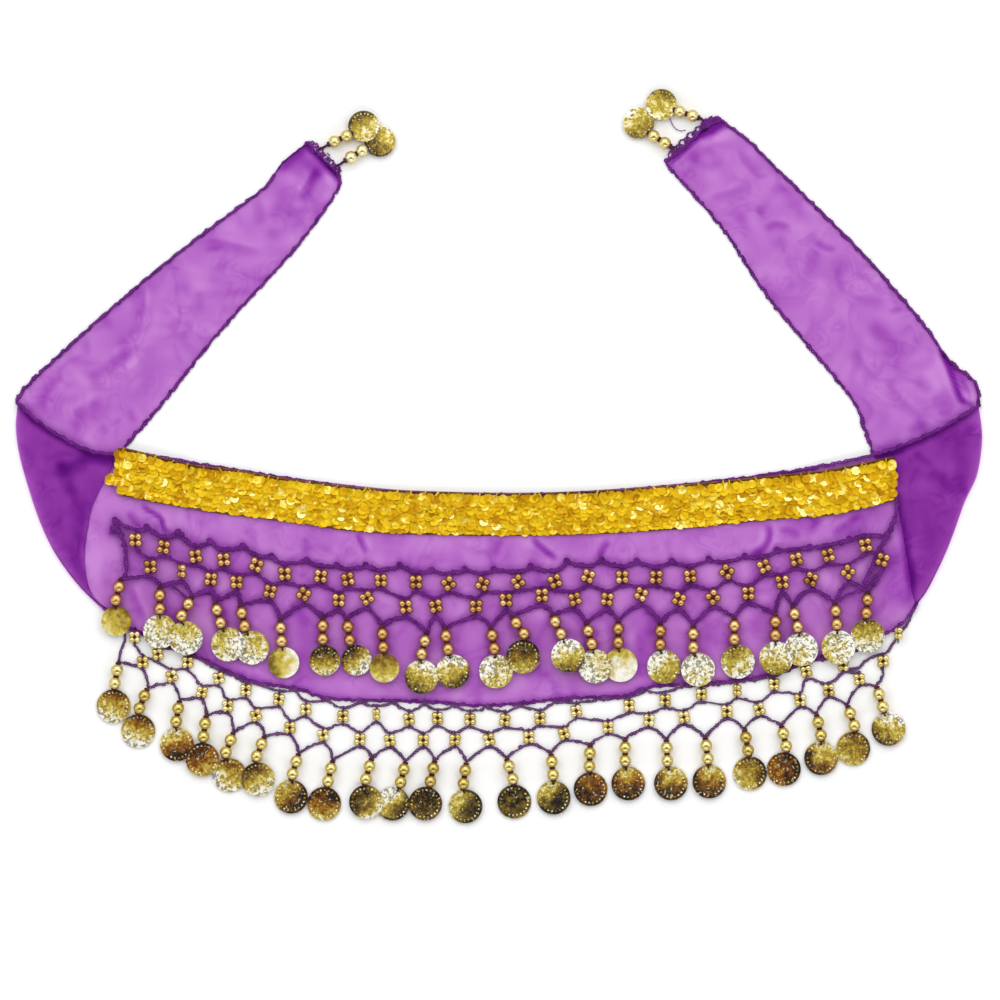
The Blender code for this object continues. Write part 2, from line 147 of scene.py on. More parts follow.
def swag(cusps: Points, middles: Points, steps: int = 10) -> Points:
    """Return a chain of bows, part curved and part straight, from cusp to cusp through the middles.

    Args:
        cusps: where the chain is held up, one row each.
        middles: its lowest points, one between each two cusps.
        steps: how many points each bow has.

    Returns:
        The chain's points, one row each.
    """
    t = (np.arange(steps) / steps)[:, None]
    spans = []
    for start, middle, stop in zip(cusps, middles, cusps[1:]):
        pull = 2 * middle - (start + stop) / 2
        bow = (1 - t) ** 2 * start + 2 * t * (1 - t) * pull + t ** 2 * stop
        legs = np.where(t < 0.5, start + (middle - start) * 2 * t, middle + (stop - middle) * (2 * t - 1))
        spans.append(0.6 * bow + 0.4 * legs)
    return np.vstack([*spans, cusps[len(spans)][None]])


def smooth_step(value: np.ndarray) -> np.ndarray:
    """Return an eased ramp from 0 to 1."""
    part = np.clip(value, 0.0, 1.0)
    return part * part * (3.0 - 2.0 * part)


def rows_of(kind: type, *rows: tuple) -> tuple:
    """Return records of one kind from their rows of values."""
    return tuple(kind(*row) for row in rows)


# ---- Meshes ----

@dataclass
class Shape:
    """The points and faces of a mesh, in millimetres."""

    vertices: Points
    faces: list[tuple[int, ...]]

    @classmethod
    def taken_from(cls, obj: Piece) -> "Shape":
        """Read a modelled object's shape and remove the object.

        Args:
            obj: a mesh object, modelled in millimetres.

        Returns:
            Its shape.
        """
        mesh = obj.data
        vertices = np.zeros(len(mesh.vertices) * 3)
        mesh.vertices.foreach_get("co", vertices)
        shape = cls(vertices.reshape(-1, 3), [tuple(face.vertices) for face in mesh.polygons])
        bpy.data.objects.remove(obj, do_unlink=True)
        bpy.data.meshes.remove(mesh)
        return shape

    @classmethod
    def joined(cls, shapes: Sequence["Shape"]) -> "Shape":
        """Return several shapes as one.

        Args:
            shapes: the shapes, in order.

        Returns:
            One shape with all their points and faces.
        """
        starts = np.cumsum([0] + [len(shape.vertices) for shape in shapes]).tolist()
        faces = [tuple(index + start for index in face)
                 for shape, start in zip(shapes, starts) for face in shape.faces]
        return cls(np.vstack([shape.vertices for shape in shapes]), faces)

    def turned(self, matrix: Matrix) -> "Shape":
        """Return the shape moved by a 4 x 4 matrix."""
        table = np.array(matrix)
        return Shape(self.vertices @ table[:3, :3].T + table[:3, 3], self.faces)

    def copied(self, axes: np.ndarray, places: Points) -> "Shape":
        """Return one shape with a copy at each place.

        Args:
            axes: for each copy, a 3 x 3 table whose rows are where its x, y and z axes point, sized.
            places: for each copy, where its origin goes.

        Returns:
            The joined copies.
        """
        vertices = np.einsum("vi,kij->kvj", self.vertices, axes) + places[:, None, :]
        size = len(self.vertices)
        faces = [tuple(index + copy * size for index in face)
                 for copy in range(len(places)) for face in self.faces]
        return Shape(vertices.reshape(-1, 3), faces)


class Slot(str, Enum):
    """The record's material slots."""

    CHIFFON = "chiffon"
    THREAD = "crochet_thread"
    SEQUINS = "gold_sequins"
    COINS = "gold_coins"
    BEADS = "gold_beads"


def make_piece(name: str, shape: Shape, finishes: Sequence[Material],
               nodes: Sequence[str] = (), finish_of_face: np.ndarray | None = None,
               smooth_degrees: float = 60.0) -> Piece:
    """Make a piece of the scarf from a shape, with its place in its mesh.

    Args:
        name: the piece's name.
        shape: its points and faces in the part's plan, in millimetres.
        finishes: its materials.
        nodes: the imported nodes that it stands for.
        finish_of_face: for each face, which of the materials it has.
        smooth_degrees: edges sharper than this stay sharp.

    Returns:
        The piece, which rides on the scarf.
    """
    vertices = shape.vertices.copy()
    vertices[:, :2] += CENTRE_SHIFT
    mesh = bpy.data.meshes.new(name)
    mesh.from_pydata((vertices * MM).tolist(), [], shape.faces)
    for finish in finishes:
        mesh.materials.append(finish)
    if finish_of_face is not None:
        mesh.polygons.foreach_set("material_index", finish_of_face.astype(np.int32))
    mesh.update()
    mesh.shade_smooth()
    mesh.set_sharp_from_angle(angle=math.radians(smooth_degrees))
    piece = bpy.data.objects.new(name, mesh)
    bpy.context.scene.collection.objects.link(piece)
    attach(piece, "root")
    if nodes:
        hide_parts(*nodes)
    return piece


def paint(obj: Piece, attribute: str, values: np.ndarray | float) -> None:
    """Store a number for each point of a mesh, or the same for all."""
    layer = obj.data.attributes.new(attribute, "FLOAT", "POINT").data
    layer.foreach_set("value", np.full(len(layer), values, np.float32))


def paint_shade_near(cloth: Piece, pieces: Sequence[Piece], reach_mm: float, depth: float) -> None:
    """Make the cloth darker close to what is sewn to it: denser where it is drawn together, and painted
    contact shadow.

    Args:
        cloth: the strip, with its stored shades.
        pieces: what is sewn to it.
        reach_mm: how far the denser look reaches.
        depth: how much darker it is right at a piece.
    """
    spots = [vertex.co.xy.to_3d() for piece in pieces for vertex in list(piece.data.vertices)[::3]]
    tree = KDTree(len(spots))
    for index, spot in enumerate(spots):
        tree.insert(spot, index)
    tree.balance()
    away = np.array([tree.find(vertex.co.xy.to_3d())[2] for vertex in cloth.data.vertices])
    layer = cloth.data.attributes["fold"].data
    shade = np.zeros(len(away), np.float32)
    layer.foreach_get("value", shade)
    layer.foreach_set("value", (shade + depth * np.exp(-(away / (reach_mm * MM)) ** 2)).astype(np.float32))


def apply_modifiers(obj: Piece) -> None:
    """Apply all of an object's modifiers.

    Args:
        obj: the object, which is left selected alone.
    """
    bpy.ops.object.select_all(action="DESELECT")
    obj.select_set(True)
    bpy.context.view_layer.objects.active = obj
    for modifier in list(obj.modifiers):
        bpy.ops.object.modifier_apply(modifier=modifier.name)


def give_wall(obj: Piece, thickness: float) -> None:
    """Turn a surface into a thin closed wall, half of it on each side.

    Args:
        obj: the surface.
        thickness: the wall's thickness, in the object's unit.
    """
    wall = obj.modifiers.new("wall", "SOLIDIFY")
    wall.thickness = thickness
    wall.offset = 0.0
    apply_modifiers(obj)


@contextmanager
def shaping(add_primitive: Callable[..., object], **sizes: object) -> Iterator[Piece]:
    """Add a primitive with nothing else selected, and shape it in edit mode.

    Args:
        add_primitive: the operator that adds it.
        **sizes: the operator's settings.

    Yields:
        The primitive's object.
    """
    if bpy.context.view_layer.objects.active is not None:
        bpy.ops.object.select_all(action="DESELECT")
    add_primitive(**sizes)
    obj = bpy.context.object
    bpy.ops.object.mode_set(mode="EDIT")
    yield obj
    bpy.ops.object.mode_set(mode="OBJECT")


def select_where(obj: Piece, test: Callable[[Vector], bool]) -> None:
    """In edit mode, select the points that pass a test, and the faces between them.

    Args:
        obj: the object.
        test: says of a point's place whether it is selected.
    """
    sketch = bmesh.from_edit_mesh(obj.data)
    for vertex in sketch.verts:
        vertex.select = test(vertex.co)
    sketch.select_flush_mode()
    for edge in sketch.edges:
        edge.select = all(vertex.select for vertex in edge.verts)
    for face in sketch.faces:
        face.select = all(vertex.select for vertex in face.verts)
    bmesh.update_edit_mesh(obj.data)


def quads(table: np.ndarray, flip: bool = False) -> list[tuple[int, ...]]:
    """Return the four-sided faces of a grid of point numbers.

    Args:
        table: the point numbers, in rows.
        flip: whether the faces look the other way.

    Returns:
        The point numbers of each face.
    """
    corners = [table[:-1, :-1], table[:-1, 1:], table[1:, 1:], table[1:, :-1]]
    faces = np.stack(corners[::-1] if flip else corners, axis=-1)
    return [tuple(face) for face in faces.reshape(-1, 4).tolist()]


def sweep(line: Points, radius: float, sides: int = 6) -> Shape:
    """Return a closed tube along a line in space.

    Args:
        line: the tube's centre line, in millimetres.
        radius: its radius.
        sides: how many sides it has.

    Returns:
        The tube, with flat ends.
    """
    ahead = directions(line)
    side = unit(np.cross(UP, ahead))
    lift = np.cross(ahead, side)
    turns = np.arange(sides) * 2 * math.pi / sides
    rings = line[:, None] + radius * (np.cos(turns)[:, None] * side[:, None]
                                      + np.sin(turns)[:, None] * lift[:, None])
    table = np.arange(len(line) * sides).reshape(-1, sides)
    ends = [tuple(table[0, ::-1].tolist()), tuple(table[-1].tolist())]
    return Shape(rings.reshape(-1, 3), ends + quads(np.column_stack([table, table[:, 0]])))


# ---- Finishes ----

class NodeDesk:
    """Adds and links the nodes of one material."""

    def __init__(self, name: str) -> None:
        """Start an empty node material."""
        self.material = bpy.data.materials.new(name)
        self.material.use_nodes = True
        self.tree = self.material.node_tree
        self.tree.nodes.clear()

    def add(self, kind: str, inputs: dict[str | int, object] | None = None,
            **settings: object) -> bpy.types.Node:
        """Add a node.

        Args:
            kind: the node's type, without its ShaderNode prefix.
            inputs: socket names or numbers, and the value or the output that each takes.
            settings: properties of the node.

        Returns:
            The node.
        """
        node = self.tree.nodes.new("ShaderNode" + kind)
        for key, value in settings.items():
            setattr(node, key, value)
        for key, value in (inputs or {}).items():
            if isinstance(value, Socket):
                self.tree.links.new(value, node.inputs[key])
            else:
                node.inputs[key].default_value = value
        return node

    def finish(self, surface: bpy.types.Node) -> Material:
        """Join the last shader to the material's output."""
        output = self.tree.nodes.new("ShaderNodeOutputMaterial")
        self.tree.links.new(surface.outputs[0], output.inputs["Surface"])
        return self.material

    def stored(self, attribute: str) -> Socket:
        """Return a number that is stored on the mesh."""
        return self.add("Attribute", attribute_name=attribute).outputs["Fac"]

    def noise(self, scale: float, detail: float = 2.0, roughness: float = 0.5,
              distortion: float = 0.0) -> Socket:
        """Return a noise.

        Args:
            scale: how many times it repeats in each metre.
            detail: how many finer layers it has.
            roughness: how strong the finer layers are.
            distortion: how far it is warped.

        Returns:
            Its value, about 0.5.
        """
        inputs = {"Vector": self.add("TexCoord").outputs["Object"], "Scale": scale,
                  "Detail": detail, "Roughness": roughness, "Distortion": distortion}
        return self.add("TexNoise", inputs).outputs["Fac"]

    def spread(self, value: Socket, low: float, high: float, to_low: float = 0.0,
               to_high: float = 1.0) -> Socket:
        """Return a value spread from one range to another, and held there."""
        inputs = {"Value": value, "From Min": low, "From Max": high, "To Min": to_low, "To Max": to_high}
        return self.add("MapRange", inputs).outputs["Result"]

    def sum(self, first: object, second: object, operation: str = "ADD") -> Socket:
        """Return the result of a sum of two values."""
        return self.add("Math", {0: first, 1: second}, operation=operation).outputs[0]

    def blend(self, part: object, first: object, second: object) -> Socket:
        """Return a colour between two colours."""
        return self.add("Mix", {0: part, 6: first, 7: second}, data_type="RGBA").outputs[2]

    def bump(self, height: Socket, strength: object, distance_mm: float) -> Socket:
        """Return a bumped normal."""
        inputs = {"Height": height, "Strength": strength, "Distance": distance_mm * MM}
        return self.add("Bump", inputs).outputs["Normal"]


def rgba(colour: Colour) -> tuple[float, float, float, float]:
    """Return a colour with full alpha."""
    return (*colour, 1.0)


@dataclass(frozen=True)
class ChiffonFinish:
    """Sheer chiffon: dyed threads that light passes between and through."""

    tint: Colour = (0.897, 0.730, 0.920)
    dense_shaded_tint: Colour = (0.650, 0.316, 0.737)
    fibre: Colour = (0.30, 0.04, 0.42)
    fibre_share: float = 0.045
    crinkles_per_metre: float = 62.0
    crinkle_steps: float = 7.0
    crinkle_depth: float = 0.13

    def material(self) -> Material:
        """Mix what shines through the cloth with its threads.

        Returns:
            The material.
        """
        desk = NodeDesk("purple_chiffon")
        # The stored fold value and the crinkles darken the tint: denser cloth together with painted shade,
        # and painted highlights where the value is lowered.
        depth = desk.sum(desk.stored("fold"), self.crinkles(desk))
        tint = desk.blend(desk.spread(depth, 0.0, 1.0), rgba(self.tint), rgba(self.dense_shaded_tint))
        clear = desk.add("BsdfTransparent", {"Color": tint}).outputs[0]
        inputs = {"Base Color": rgba(self.fibre), "Roughness": 0.6, "Sheen Weight": 0.2,
                  "Sheen Roughness": 0.4}
        threads = desk.add("BsdfPrincipled", inputs).outputs[0]
        return desk.finish(desk.add("MixShader", {0: self.fibre_share, 1: clear, 2: threads}))

    def crinkles(self, desk: NodeDesk) -> Socket:
        """Return the shade of small crinkles, each sharp on one side, where the cloth is crumpled.

        Args:
            desk: the chiffon's nodes.

        Returns:
            The shade that they add.
        """
        steps = desk.sum(desk.noise(self.crinkles_per_metre, 1.0, 0.5, 0.4), self.crinkle_steps, "MULTIPLY")
        slope = desk.sum(desk.sum(steps, 1.0, "FRACT"), 2.0, "POWER")
        crumpled = desk.sum(slope, desk.stored("crumple"), "MULTIPLY")
        return desk.sum(crumpled, self.crinkle_depth, "MULTIPLY")


@dataclass(frozen=True)
class YarnFinish:
    """Dull crochet yarn, with fine fibres."""

    name: str
    colour: Colour
    deep: Colour

    def material(self) -> Material:
        """Mottle the yarn's colour with fibres and patches.

        Returns:
            The material.
        """
        desk = NodeDesk(self.name)
        fibres = desk.noise(3200.0, 3.0, 0.7)
        patches = desk.noise(260.0, 2.0)
        shade = desk.spread(desk.sum(fibres, patches), 0.75, 1.25)
        colour = desk.blend(shade, rgba(self.deep), rgba(self.colour))
        inputs = {"Base Color": colour, "Roughness": 0.85, "Specular IOR Level": 0.12,
                  "Normal": desk.bump(fibres, 0.6, 0.15)}
        return desk.finish(desk.add("BsdfPrincipled", inputs))


@dataclass(frozen=True)
class GoldFinish:
    """Gold-coloured metal or metallised plastic that darkens through brown to near black; on the coins the
    pale end is painted glare and the dark end partly painted dark reflection.
    """

    name: str
    pale: Colour
    bright: Colour
    middle: Colour
    deep: Colour
    edge: Colour
    stamped_roughness: float
    plain_roughness: float
    dents_per_metre: float = 900.0
    dent_mm: float = 0.02
    patches_per_metre: float = 300.0
    patch_depth: float = 0.1
    metallic: float = 1.0
    specular: float = 0.5
    warm: Colour | None = None
    stamp: float = 0.0
    strikes_per_metre: float = 560.0
    middle_at: float = 0.36
    bright_at: float = 0.68

    def material(self) -> Material:
        """Colour the metal by its stored tone, with specks of tone, marks of the struck relief painted as
        reflections, and dents.

        Returns:
            The material.
        """
        desk = NodeDesk(self.name)
        patches = desk.noise(self.patches_per_metre, 3.0, 0.62)
        swing = desk.spread(patches, 0.25, 0.75, -self.patch_depth, self.patch_depth)
        shaded = desk.sum(desk.stored("tone"), swing)
        relief = desk.stored("relief")
        if self.stamp:
            strike = desk.noise(self.strikes_per_metre, 2.0, 0.5, 0.8)
            tone_specks = desk.spread(strike, 0.35, 0.65, 0.16, -0.16)
            shaded = desk.sum(shaded, desk.sum(tone_specks, relief, "MULTIPLY"))
        colour = self.ramp(desk, shaded, self.middle)
        if self.warm:
            colour = desk.blend(desk.stored("warmth"), colour, self.ramp(desk, shaded, self.warm))
        if self.stamp:
            # Painted reflection of the struck relief: dark marks where the metal is pale and pale marks where
            # it is dark.
            turned = self.ramp(desk, desk.spread(shaded, 0.0, 1.0, 0.88, 0.0), self.middle)
            reflection_mask = desk.sum(strike, desk.sum(shaded, 0.14, "MULTIPLY"))
            marks = desk.spread(reflection_mask, 0.625, 0.68, 0.0, self.stamp)
            colour = desk.blend(desk.sum(marks, relief, "MULTIPLY"), colour, turned)
        roughness = desk.spread(relief, 0.0, 1.0, self.plain_roughness, self.stamped_roughness)
        bumped = desk.bump(desk.noise(self.dents_per_metre, 1.0), relief, self.dent_mm)
        inputs = {"Base Color": colour, "Metallic": self.metallic, "Specular Tint": rgba(self.edge),
                  "Roughness": roughness, "Normal": bumped, "Specular IOR Level": self.specular}
        return desk.finish(desk.add("BsdfPrincipled", inputs))

    def ramp(self, desk: NodeDesk, tone: Socket, middle: Colour) -> Socket:
        """Give each tone its colour, from deep through a middle colour and bright to pale.

        Args:
            desk: the metal's nodes.
            tone: 0 for deep and 1 for pale.
            middle: the colour between deep and bright.

        Returns:
            The colour.
        """
        ramp = desk.add("ValToRGB", {0: tone})
        stops = ramp.color_ramp.elements
        stops[0].color = rgba(self.deep)
        stops[1].color = rgba(self.pale)
        stops.new(self.middle_at).color = rgba(middle)
        stops.new(self.bright_at).color = rgba(self.bright)
        return ramp.outputs[0]


def made(finish: ChiffonFinish | YarnFinish | GoldFinish) -> Material:
    """Return a field that holds a finish's material, made when the scarf is."""
    return field(default_factory=finish.material)


@dataclass
class Finishes:
    """Every material of the scarf."""

    chiffon: Material = made(ChiffonFinish())
    edging: Material = made(YarnFinish(
        "purple_crochet_yarn", (0.200, 0.026, 0.275), (0.080, 0.010, 0.125)))
    fringe: Material = made(YarnFinish(
        "dark_crochet_yarn", (0.170, 0.065, 0.200), (0.075, 0.028, 0.095)))
    cord: Material = made(YarnFinish(
        "brown_bead_thread", (0.13, 0.035, 0.035), (0.04, 0.010, 0.014)))
    tape: Material = made(YarnFinish(
        "brown_net_tape", (0.26, 0.11, 0.03), (0.10, 0.035, 0.02)))
    # The coins' pale colour is painted glare and their near-black deep colour partly painted dark reflection,
    # over the metal's own colour.
    coins: Material = made(GoldFinish(
        "stamped_gold_metal", (0.98, 0.96, 0.86), (0.66, 0.52, 0.08), (0.20, 0.135, 0.022),
        (0.018, 0.015, 0.013), (0.8, 0.7, 0.5), 0.34, 0.40, dents_per_metre=420.0, dent_mm=0.16,
        patches_per_metre=260.0, patch_depth=0.26, metallic=0.30, specular=0.22,
        warm=(0.27, 0.08, 0.009), stamp=0.66))
    beads: Material = made(GoldFinish(
        "bronze_gold_beads", (0.90, 0.74, 0.40), (0.76, 0.48, 0.19), (0.54, 0.29, 0.09),
        (0.26, 0.09, 0.02), (0.40, 0.13, 0.05), 0.34, 0.36))
    yellow_beads: Material = made(GoldFinish(
        "yellow_gold_beads", (0.95, 0.88, 0.50), (0.76, 0.61, 0.19), (0.51, 0.37, 0.09),
        (0.28, 0.14, 0.02), (0.40, 0.20, 0.04), 0.32, 0.34))
    sequins: Material = made(GoldFinish(
        "yellow_gold_sequins", (1.0, 0.90, 0.33), (0.75, 0.52, 0.013), (0.60, 0.34, 0.005),
        (0.40, 0.17, 0.003), (0.9, 0.6, 0.1), 0.42, 0.46, dents_per_metre=700.0, dent_mm=0.03,
        patches_per_metre=330.0, patch_depth=0.26, metallic=0.5))


# ---- The strip of chiffon ----

LEFT_FOLD = (
    (-264.6, 29.2), (-265.6, 15.4), (-263.5, 0), (-258, -19.8), (-251.9, -37.4), (-244.8, -52.3),
    (-235.4, -66), (-225.5, -77), (-215.6, -84.7))
RIGHT_FOLD = (
    (263.6, 28), (265.6, 10), (262.9, -9.9), (255.8, -25.9), (247, -50), (236.5, -72),
    (229.4, -82))
TOP_HEM = (
    (-264.6, 29.2), (-249.7, 16.5), (-224, 2.8), (-192, 0.3), (-142, -8), (-60, -18.2),
    (-5, -20.1), (44, -19.3), (105, -14.6), (154, -9.4), (205, 0.6), (241, 14.3),
    (263.6, 28))
BOTTOM_HEM = (
    (-215.6, -84.7), (-203, -95.2), (-166, -110.3), (-137.5, -123.2), (-110, -128.2),
    (-91.9, -133.4), (-40.7, -135), (-6.1, -137.2), (41.8, -133.1), (68.8, -132), (85.8, -126.8),
    (133.7, -123.2), (159, -116.6), (195.8, -104.5), (219, -94), (229.4, -82))


@dataclass(frozen=True)
class TieCut:
    """One tie: its outer hem and its inner hem, from the fold to the tip, and the inner hem's height
    in plan from which it shows past the panel."""

    outer: tuple[tuple[float, float], ...]
    inner: tuple[tuple[float, float], ...]
    visible_from: float

    def inner_parts(self) -> tuple[Points, Points]:
        """Cut the inner hem's line where it comes out from under the panel.

        Returns:
            Its part under the panel, and its part past it.
        """
        line = smooth_line(self.inner)
        cut = int(np.argmax(line[:, 1] >= self.visible_from))
        return line[:cut + 1], line[cut:]


LEFT_TIE = TieCut(
    outer=((-264.6, 29.2), (-264.3, 32), (-255.2, 42.9), (-215.8, 78.7), (-173.8, 113.6),
           (-133.7, 143.8), (-126, 150.5), (-119.5, 160.8), (-105.6, 171.9)),
    inner=((-215.6, -84.7), (-222.6, -77.6), (-226.4, -68.5), (-227.7, -55), (-226.1, -40.7),
           (-221.7, -23.7), (-205.2, 5.2), (-188.8, 24.5), (-153.5, 68.5), (-111.8, 114.6),
           (-89.1, 145.8), (-88, 153.8)),
    visible_from=5.2)
RIGHT_TIE = TieCut(
    outer=((263.6, 28), (263.8, 31), (261.3, 41), (247.2, 52.8), (232.9, 72.9), (198.6, 112.5),
           (150.2, 160.3), (136.2, 174.2), (119.9, 185.9)),
    inner=((229.4, -82), (227.2, -75), (226, -66), (223.3, -50), (218.4, -25.9),
           (206, 1), (200.9, 14.9), (192.5, 33.4), (147.8, 87.8), (123.2, 124.9),
           (93.8, 158.5), (93.4, 163)),
    visible_from=1.0)


class Hang(NamedTuple):
    """One dangle: where it hangs, and how its beads and its coin lean from straight down, in degrees."""

    x: float
    y: float
    bead_lean: float
    coin_lean: float


UPPER_HANGS = rows_of(
    Hang,
    (-207.6, -67.5, -13, 0), (-186.2, -72, 0, 0), (-168.4, -77.3, -30, 10), (-156.2, -80.2, 16, 19),
    (-142.3, -81.8, 13, 18), (-120.2, -89.9, 4, 5), (-96.8, -88.8, 0, 5), (-83.6, -89.4, 8, 18),
    (-64.4, -93.2, 4, 3), (-39.7, -97.2, -14, 0), (-29.8, -94.4, 9, 12), (-4.6, -94.1, 10, 4),
    (6.8, -88, 36, -2), (28.9, -87, 26, 18), (47.9, -91.7, 15, 9), (65.5, -90.5, 0, 6), (88.6, -91.6, 0, 9),
    (106.7, -93.2, 0, 12), (129.3, -88.8, 0, 9), (151.8, -86.6, 0, 2), (161.2, -82.3, 14, 9),
    (184.5, -80.6, 5, 4), (202.7, -74.5, -5, 4))
LOWER_HANGS = rows_of(
    Hang,
    (-209, -113.3, -10, -4), (-193.1, -127.6, -22, -4), (-175.5, -134.2, -9, 1), (-160.9, -142.5, -7, -3),
    (-145.8, -151.8, -21, 8), (-128.7, -154, -22, 3), (-110, -163.4, -17, -4), (-91.3, -167.2, -13, -10),
    (-69.9, -166.1, -16, 0), (-51.2, -167.8, -14, -20), (-35.2, -167.2, -12, -13), (-17.9, -168.3, -8, 5),
    (4.1, -166.1, 17, 4), (28.6, -163.4, 5, 2), (50.1, -158.7, -2, 3), (69.3, -155.7, 0, 8),
    (91.9, -155.7, 3, 9), (113.3, -154.6, 7, 4), (134.8, -150.2, 10, 5), (155.1, -148, 13, -5),
    (174.4, -141.9, 12, 1), (191.4, -137, 19, -2), (207.4, -126.5, 17, 15))
LEFT_TIP_LEAD = 9.0
LEFT_TIP_HANGS = rows_of(Hang, (-98.5, 168.9, 115, 120), (-89.1, 159.5, 121, 118))
RIGHT_TIP_LEAD = 5.4
RIGHT_TIP_HANGS = rows_of(Hang, (111.4, 185.2, -108, -112), (95.7, 169.1, -122, -131))


def lean_direction(degrees: float) -> np.ndarray:
    """Return the plan direction that leans by an angle from straight down towards +X."""
    angle = math.radians(degrees)
    return np.array((math.sin(angle), -math.cos(angle)))


class Crease(NamedTuple):
    """One crease: its line on the drawing grid, how far it fades out to the left and to the right of
    that line in millimetres, how high it rises, and how much darker the cloth looks along it, from denser
    cloth and painted shade."""

    line: tuple[tuple[float, float], ...]
    left: float
    right: float
    rise: float
    shade: float


# Rows with wide fades are broad soft patches of painted shade rather than creases.
PANEL_CREASES = rows_of(
    Crease,
    (((138, 503), (146, 509), (160, 518), (164, 529), (172, 535)), 1.6, 1, 0.7, 0.85),
    (((126, 510), (135, 523), (144, 527)), 2.6, 1.2, 0.5, 0.45),
    (((245, 527), (253, 543), (250, 551)), 3, 1.5, 0.4, 0.16),
    (((303, 535), (305, 554)), 3, 1.6, 0.4, 0.16), (((355, 532), (361, 543), (367, 556)), 2, 1.2, 0.6, 0.5),
    (((504, 538), (498, 546), (493, 556)), 1.8, 2.6, 0.4, 0.2),
    (((530, 536), (546, 551), (559, 560)), 1.4, 1.8, 0.6, 0.65),
    (((611, 540), (602, 552), (599, 561)), 1.4, 2.4, 0.5, 0.45),
    (((766, 520), (770, 534), (764, 548), (748, 557)), 1.6, 2.2, 0.7, 0.6),
    (((777, 530), (792, 531), (802, 539)), 1.6, 2.4, 0.5, 0.22),
    (((805, 521), (818, 520), (807, 531)), 2, 2, 0.4, 0.22),
    (((830, 532), (841, 528), (863, 511)), 1.6, 2.6, 0.7, 0.36),
    (((846, 536), (868, 523)), 2.2, 2.2, 0.4, 0.24), (((908, 552), (911, 580), (904, 612)), 2, 4, 0.6, 0.3),
    (((300, 604), (306, 640), (302, 676)), 7, 6, 0.5, 0.22),
    (((404, 612), (408, 640), (402, 664)), 8, 4, 0.5, 0.12),
    (((470, 612), (462, 640), (466, 690)), 6, 7, 0.4, 0.14),
    (((540, 610), (536, 646), (545, 690)), 5, 7, 0.4, 0.14),
    (((636, 608), (641, 640), (640, 684)), 6, 4, 0.5, 0.3),
    (((702, 600), (708, 640), (700, 676)), 7, 5, 0.4, 0.18),
    (((129, 583), (137, 602), (146, 622)), 1.6, 3, 0.5, 0.34),
    (((160, 596), (168, 612), (180, 632)), 3, 4, 0.4, 0.2),
    (((775, 536), (800, 527), (832, 523)), 6, 6, 0.2, 0.16),
    (((846, 522), (868, 514), (890, 508)), 5, 5, 0.2, 0.18),
    (((893, 540), (899, 572), (893, 612)), 9, 9, 0.2, 0.36),
    (((292, 598), (300, 610), (311, 628)), 3, 3.5, 0.3, 0.26),
    (((645, 604), (652, 620), (648, 642)), 3.6, 3.6, 0.3, 0.28),
    (((88, 478), (84, 516), (80, 545), (81, 565), (90, 590), (102, 602)), 0.8, 4.6, 0.2, 0.24),
    (((222, 600), (226, 640), (240, 664)), 4, 4, 0.4, 0.18),
    (((56, 470), (66, 486), (72, 498)), 3, 3.4, 0.6, 0.34),
    (((54, 463), (70, 466), (90, 458)), 2.4, 4.4, 0.6, 0.6),
    (((8, 392), (20, 405), (40, 424), (62, 437), (80, 445), (100, 452), (124, 456)), 1.6, 2.2, 0.2, 0.8),
    (((76, 448), (94, 456), (112, 456), (124, 452)), 2, 3.6, 0.2, 1),
    (((53, 462), (66, 472), (73, 490), (76, 512)), 2.6, 2.6, 0.6, 0.3),
    (((860, 459), (904, 445), (945, 424), (972, 407), (990, 392)), 1.6, 2.6, 0.2, 0.9),
    (((880, 452), (892, 452), (906, 448)), 1.6, 2.6, 0.2, 0.55),
    (((912, 450), (924, 460), (934, 466)), 1.8, 1.8, 0.4, 0.34),
    (((898, 496), (900, 522), (905, 546), (909, 566), (912, 590), (914, 612)), 2.4, 2, 0.2, 0.55),
    (((925, 470), (940, 476), (952, 492)), 3, 4, 0.5, 0.24),
    (((918, 512), (932, 540), (924, 580)), 5, 5, 0.3, 0.14),
    (((955, 440), (962, 470), (958, 500)), 4, 4, 0.3, 0.14))
LEFT_TIE_CREASES = rows_of(
    Crease,
    (((201, 247), (212, 241), (236, 246), (266, 254)), 1.4, 5, 1.1, 0.24),
    (((203, 250), (214, 249), (226, 246)), 1.5, 1.5, 0.4, 0.16),
    (((142, 283), (144, 302), (140, 324)), 1.2, 5, 1, 0.24),
    (((127, 302), (136, 292), (143, 284)), 3, 3, 0.5, 0.14),
    (((100, 377), (121, 355), (144, 346)), 2, 4.4, 0.9, 0.19), (((86, 336), (89, 358)), 1.6, 3, 0.8, 0.16),
    (((104, 314), (112, 330)), 2.4, 2, 0.6, 0.13), (((168, 330), (181, 317)), 2, 3, 0.7, 0.13),
    (((174, 266), (180, 280), (179, 296)), 4, 3, 0.7, 0.09), (((201, 290), (199, 310)), 2, 3, 0.6, 0.1),
    (((256, 196), (262, 216), (256, 226)), 2, 3, 0.7, 0.16),
    (((286, 186), (280, 204), (268, 222)), 3, 4, 0.8, 0.14),
    (((318, 164), (306, 186), (296, 202)), 6, 1, 0.9, 0.19), (((216, 274), (230, 260)), 2.6, 2, 0.5, 0.1),
    (((40, 412), (47, 392), (64, 374)), 3.4, 2, 0.9, 0.22),
    (((75, 434), (80, 416), (103, 399)), 2.6, 6, 1, 0.22), (((128, 408), (136, 424)), 2, 2.6, 0.8, 0.2),
    (((89, 380), (100, 369), (108, 364)), 1.8, 3, 0.6, 0.14),
    (((120, 336), (126, 350), (124, 362)), 2.6, 3, 0.5, 0.1),
    (((100, 424), (108, 436)), 2.6, 2.6, 0.4, 0.14))
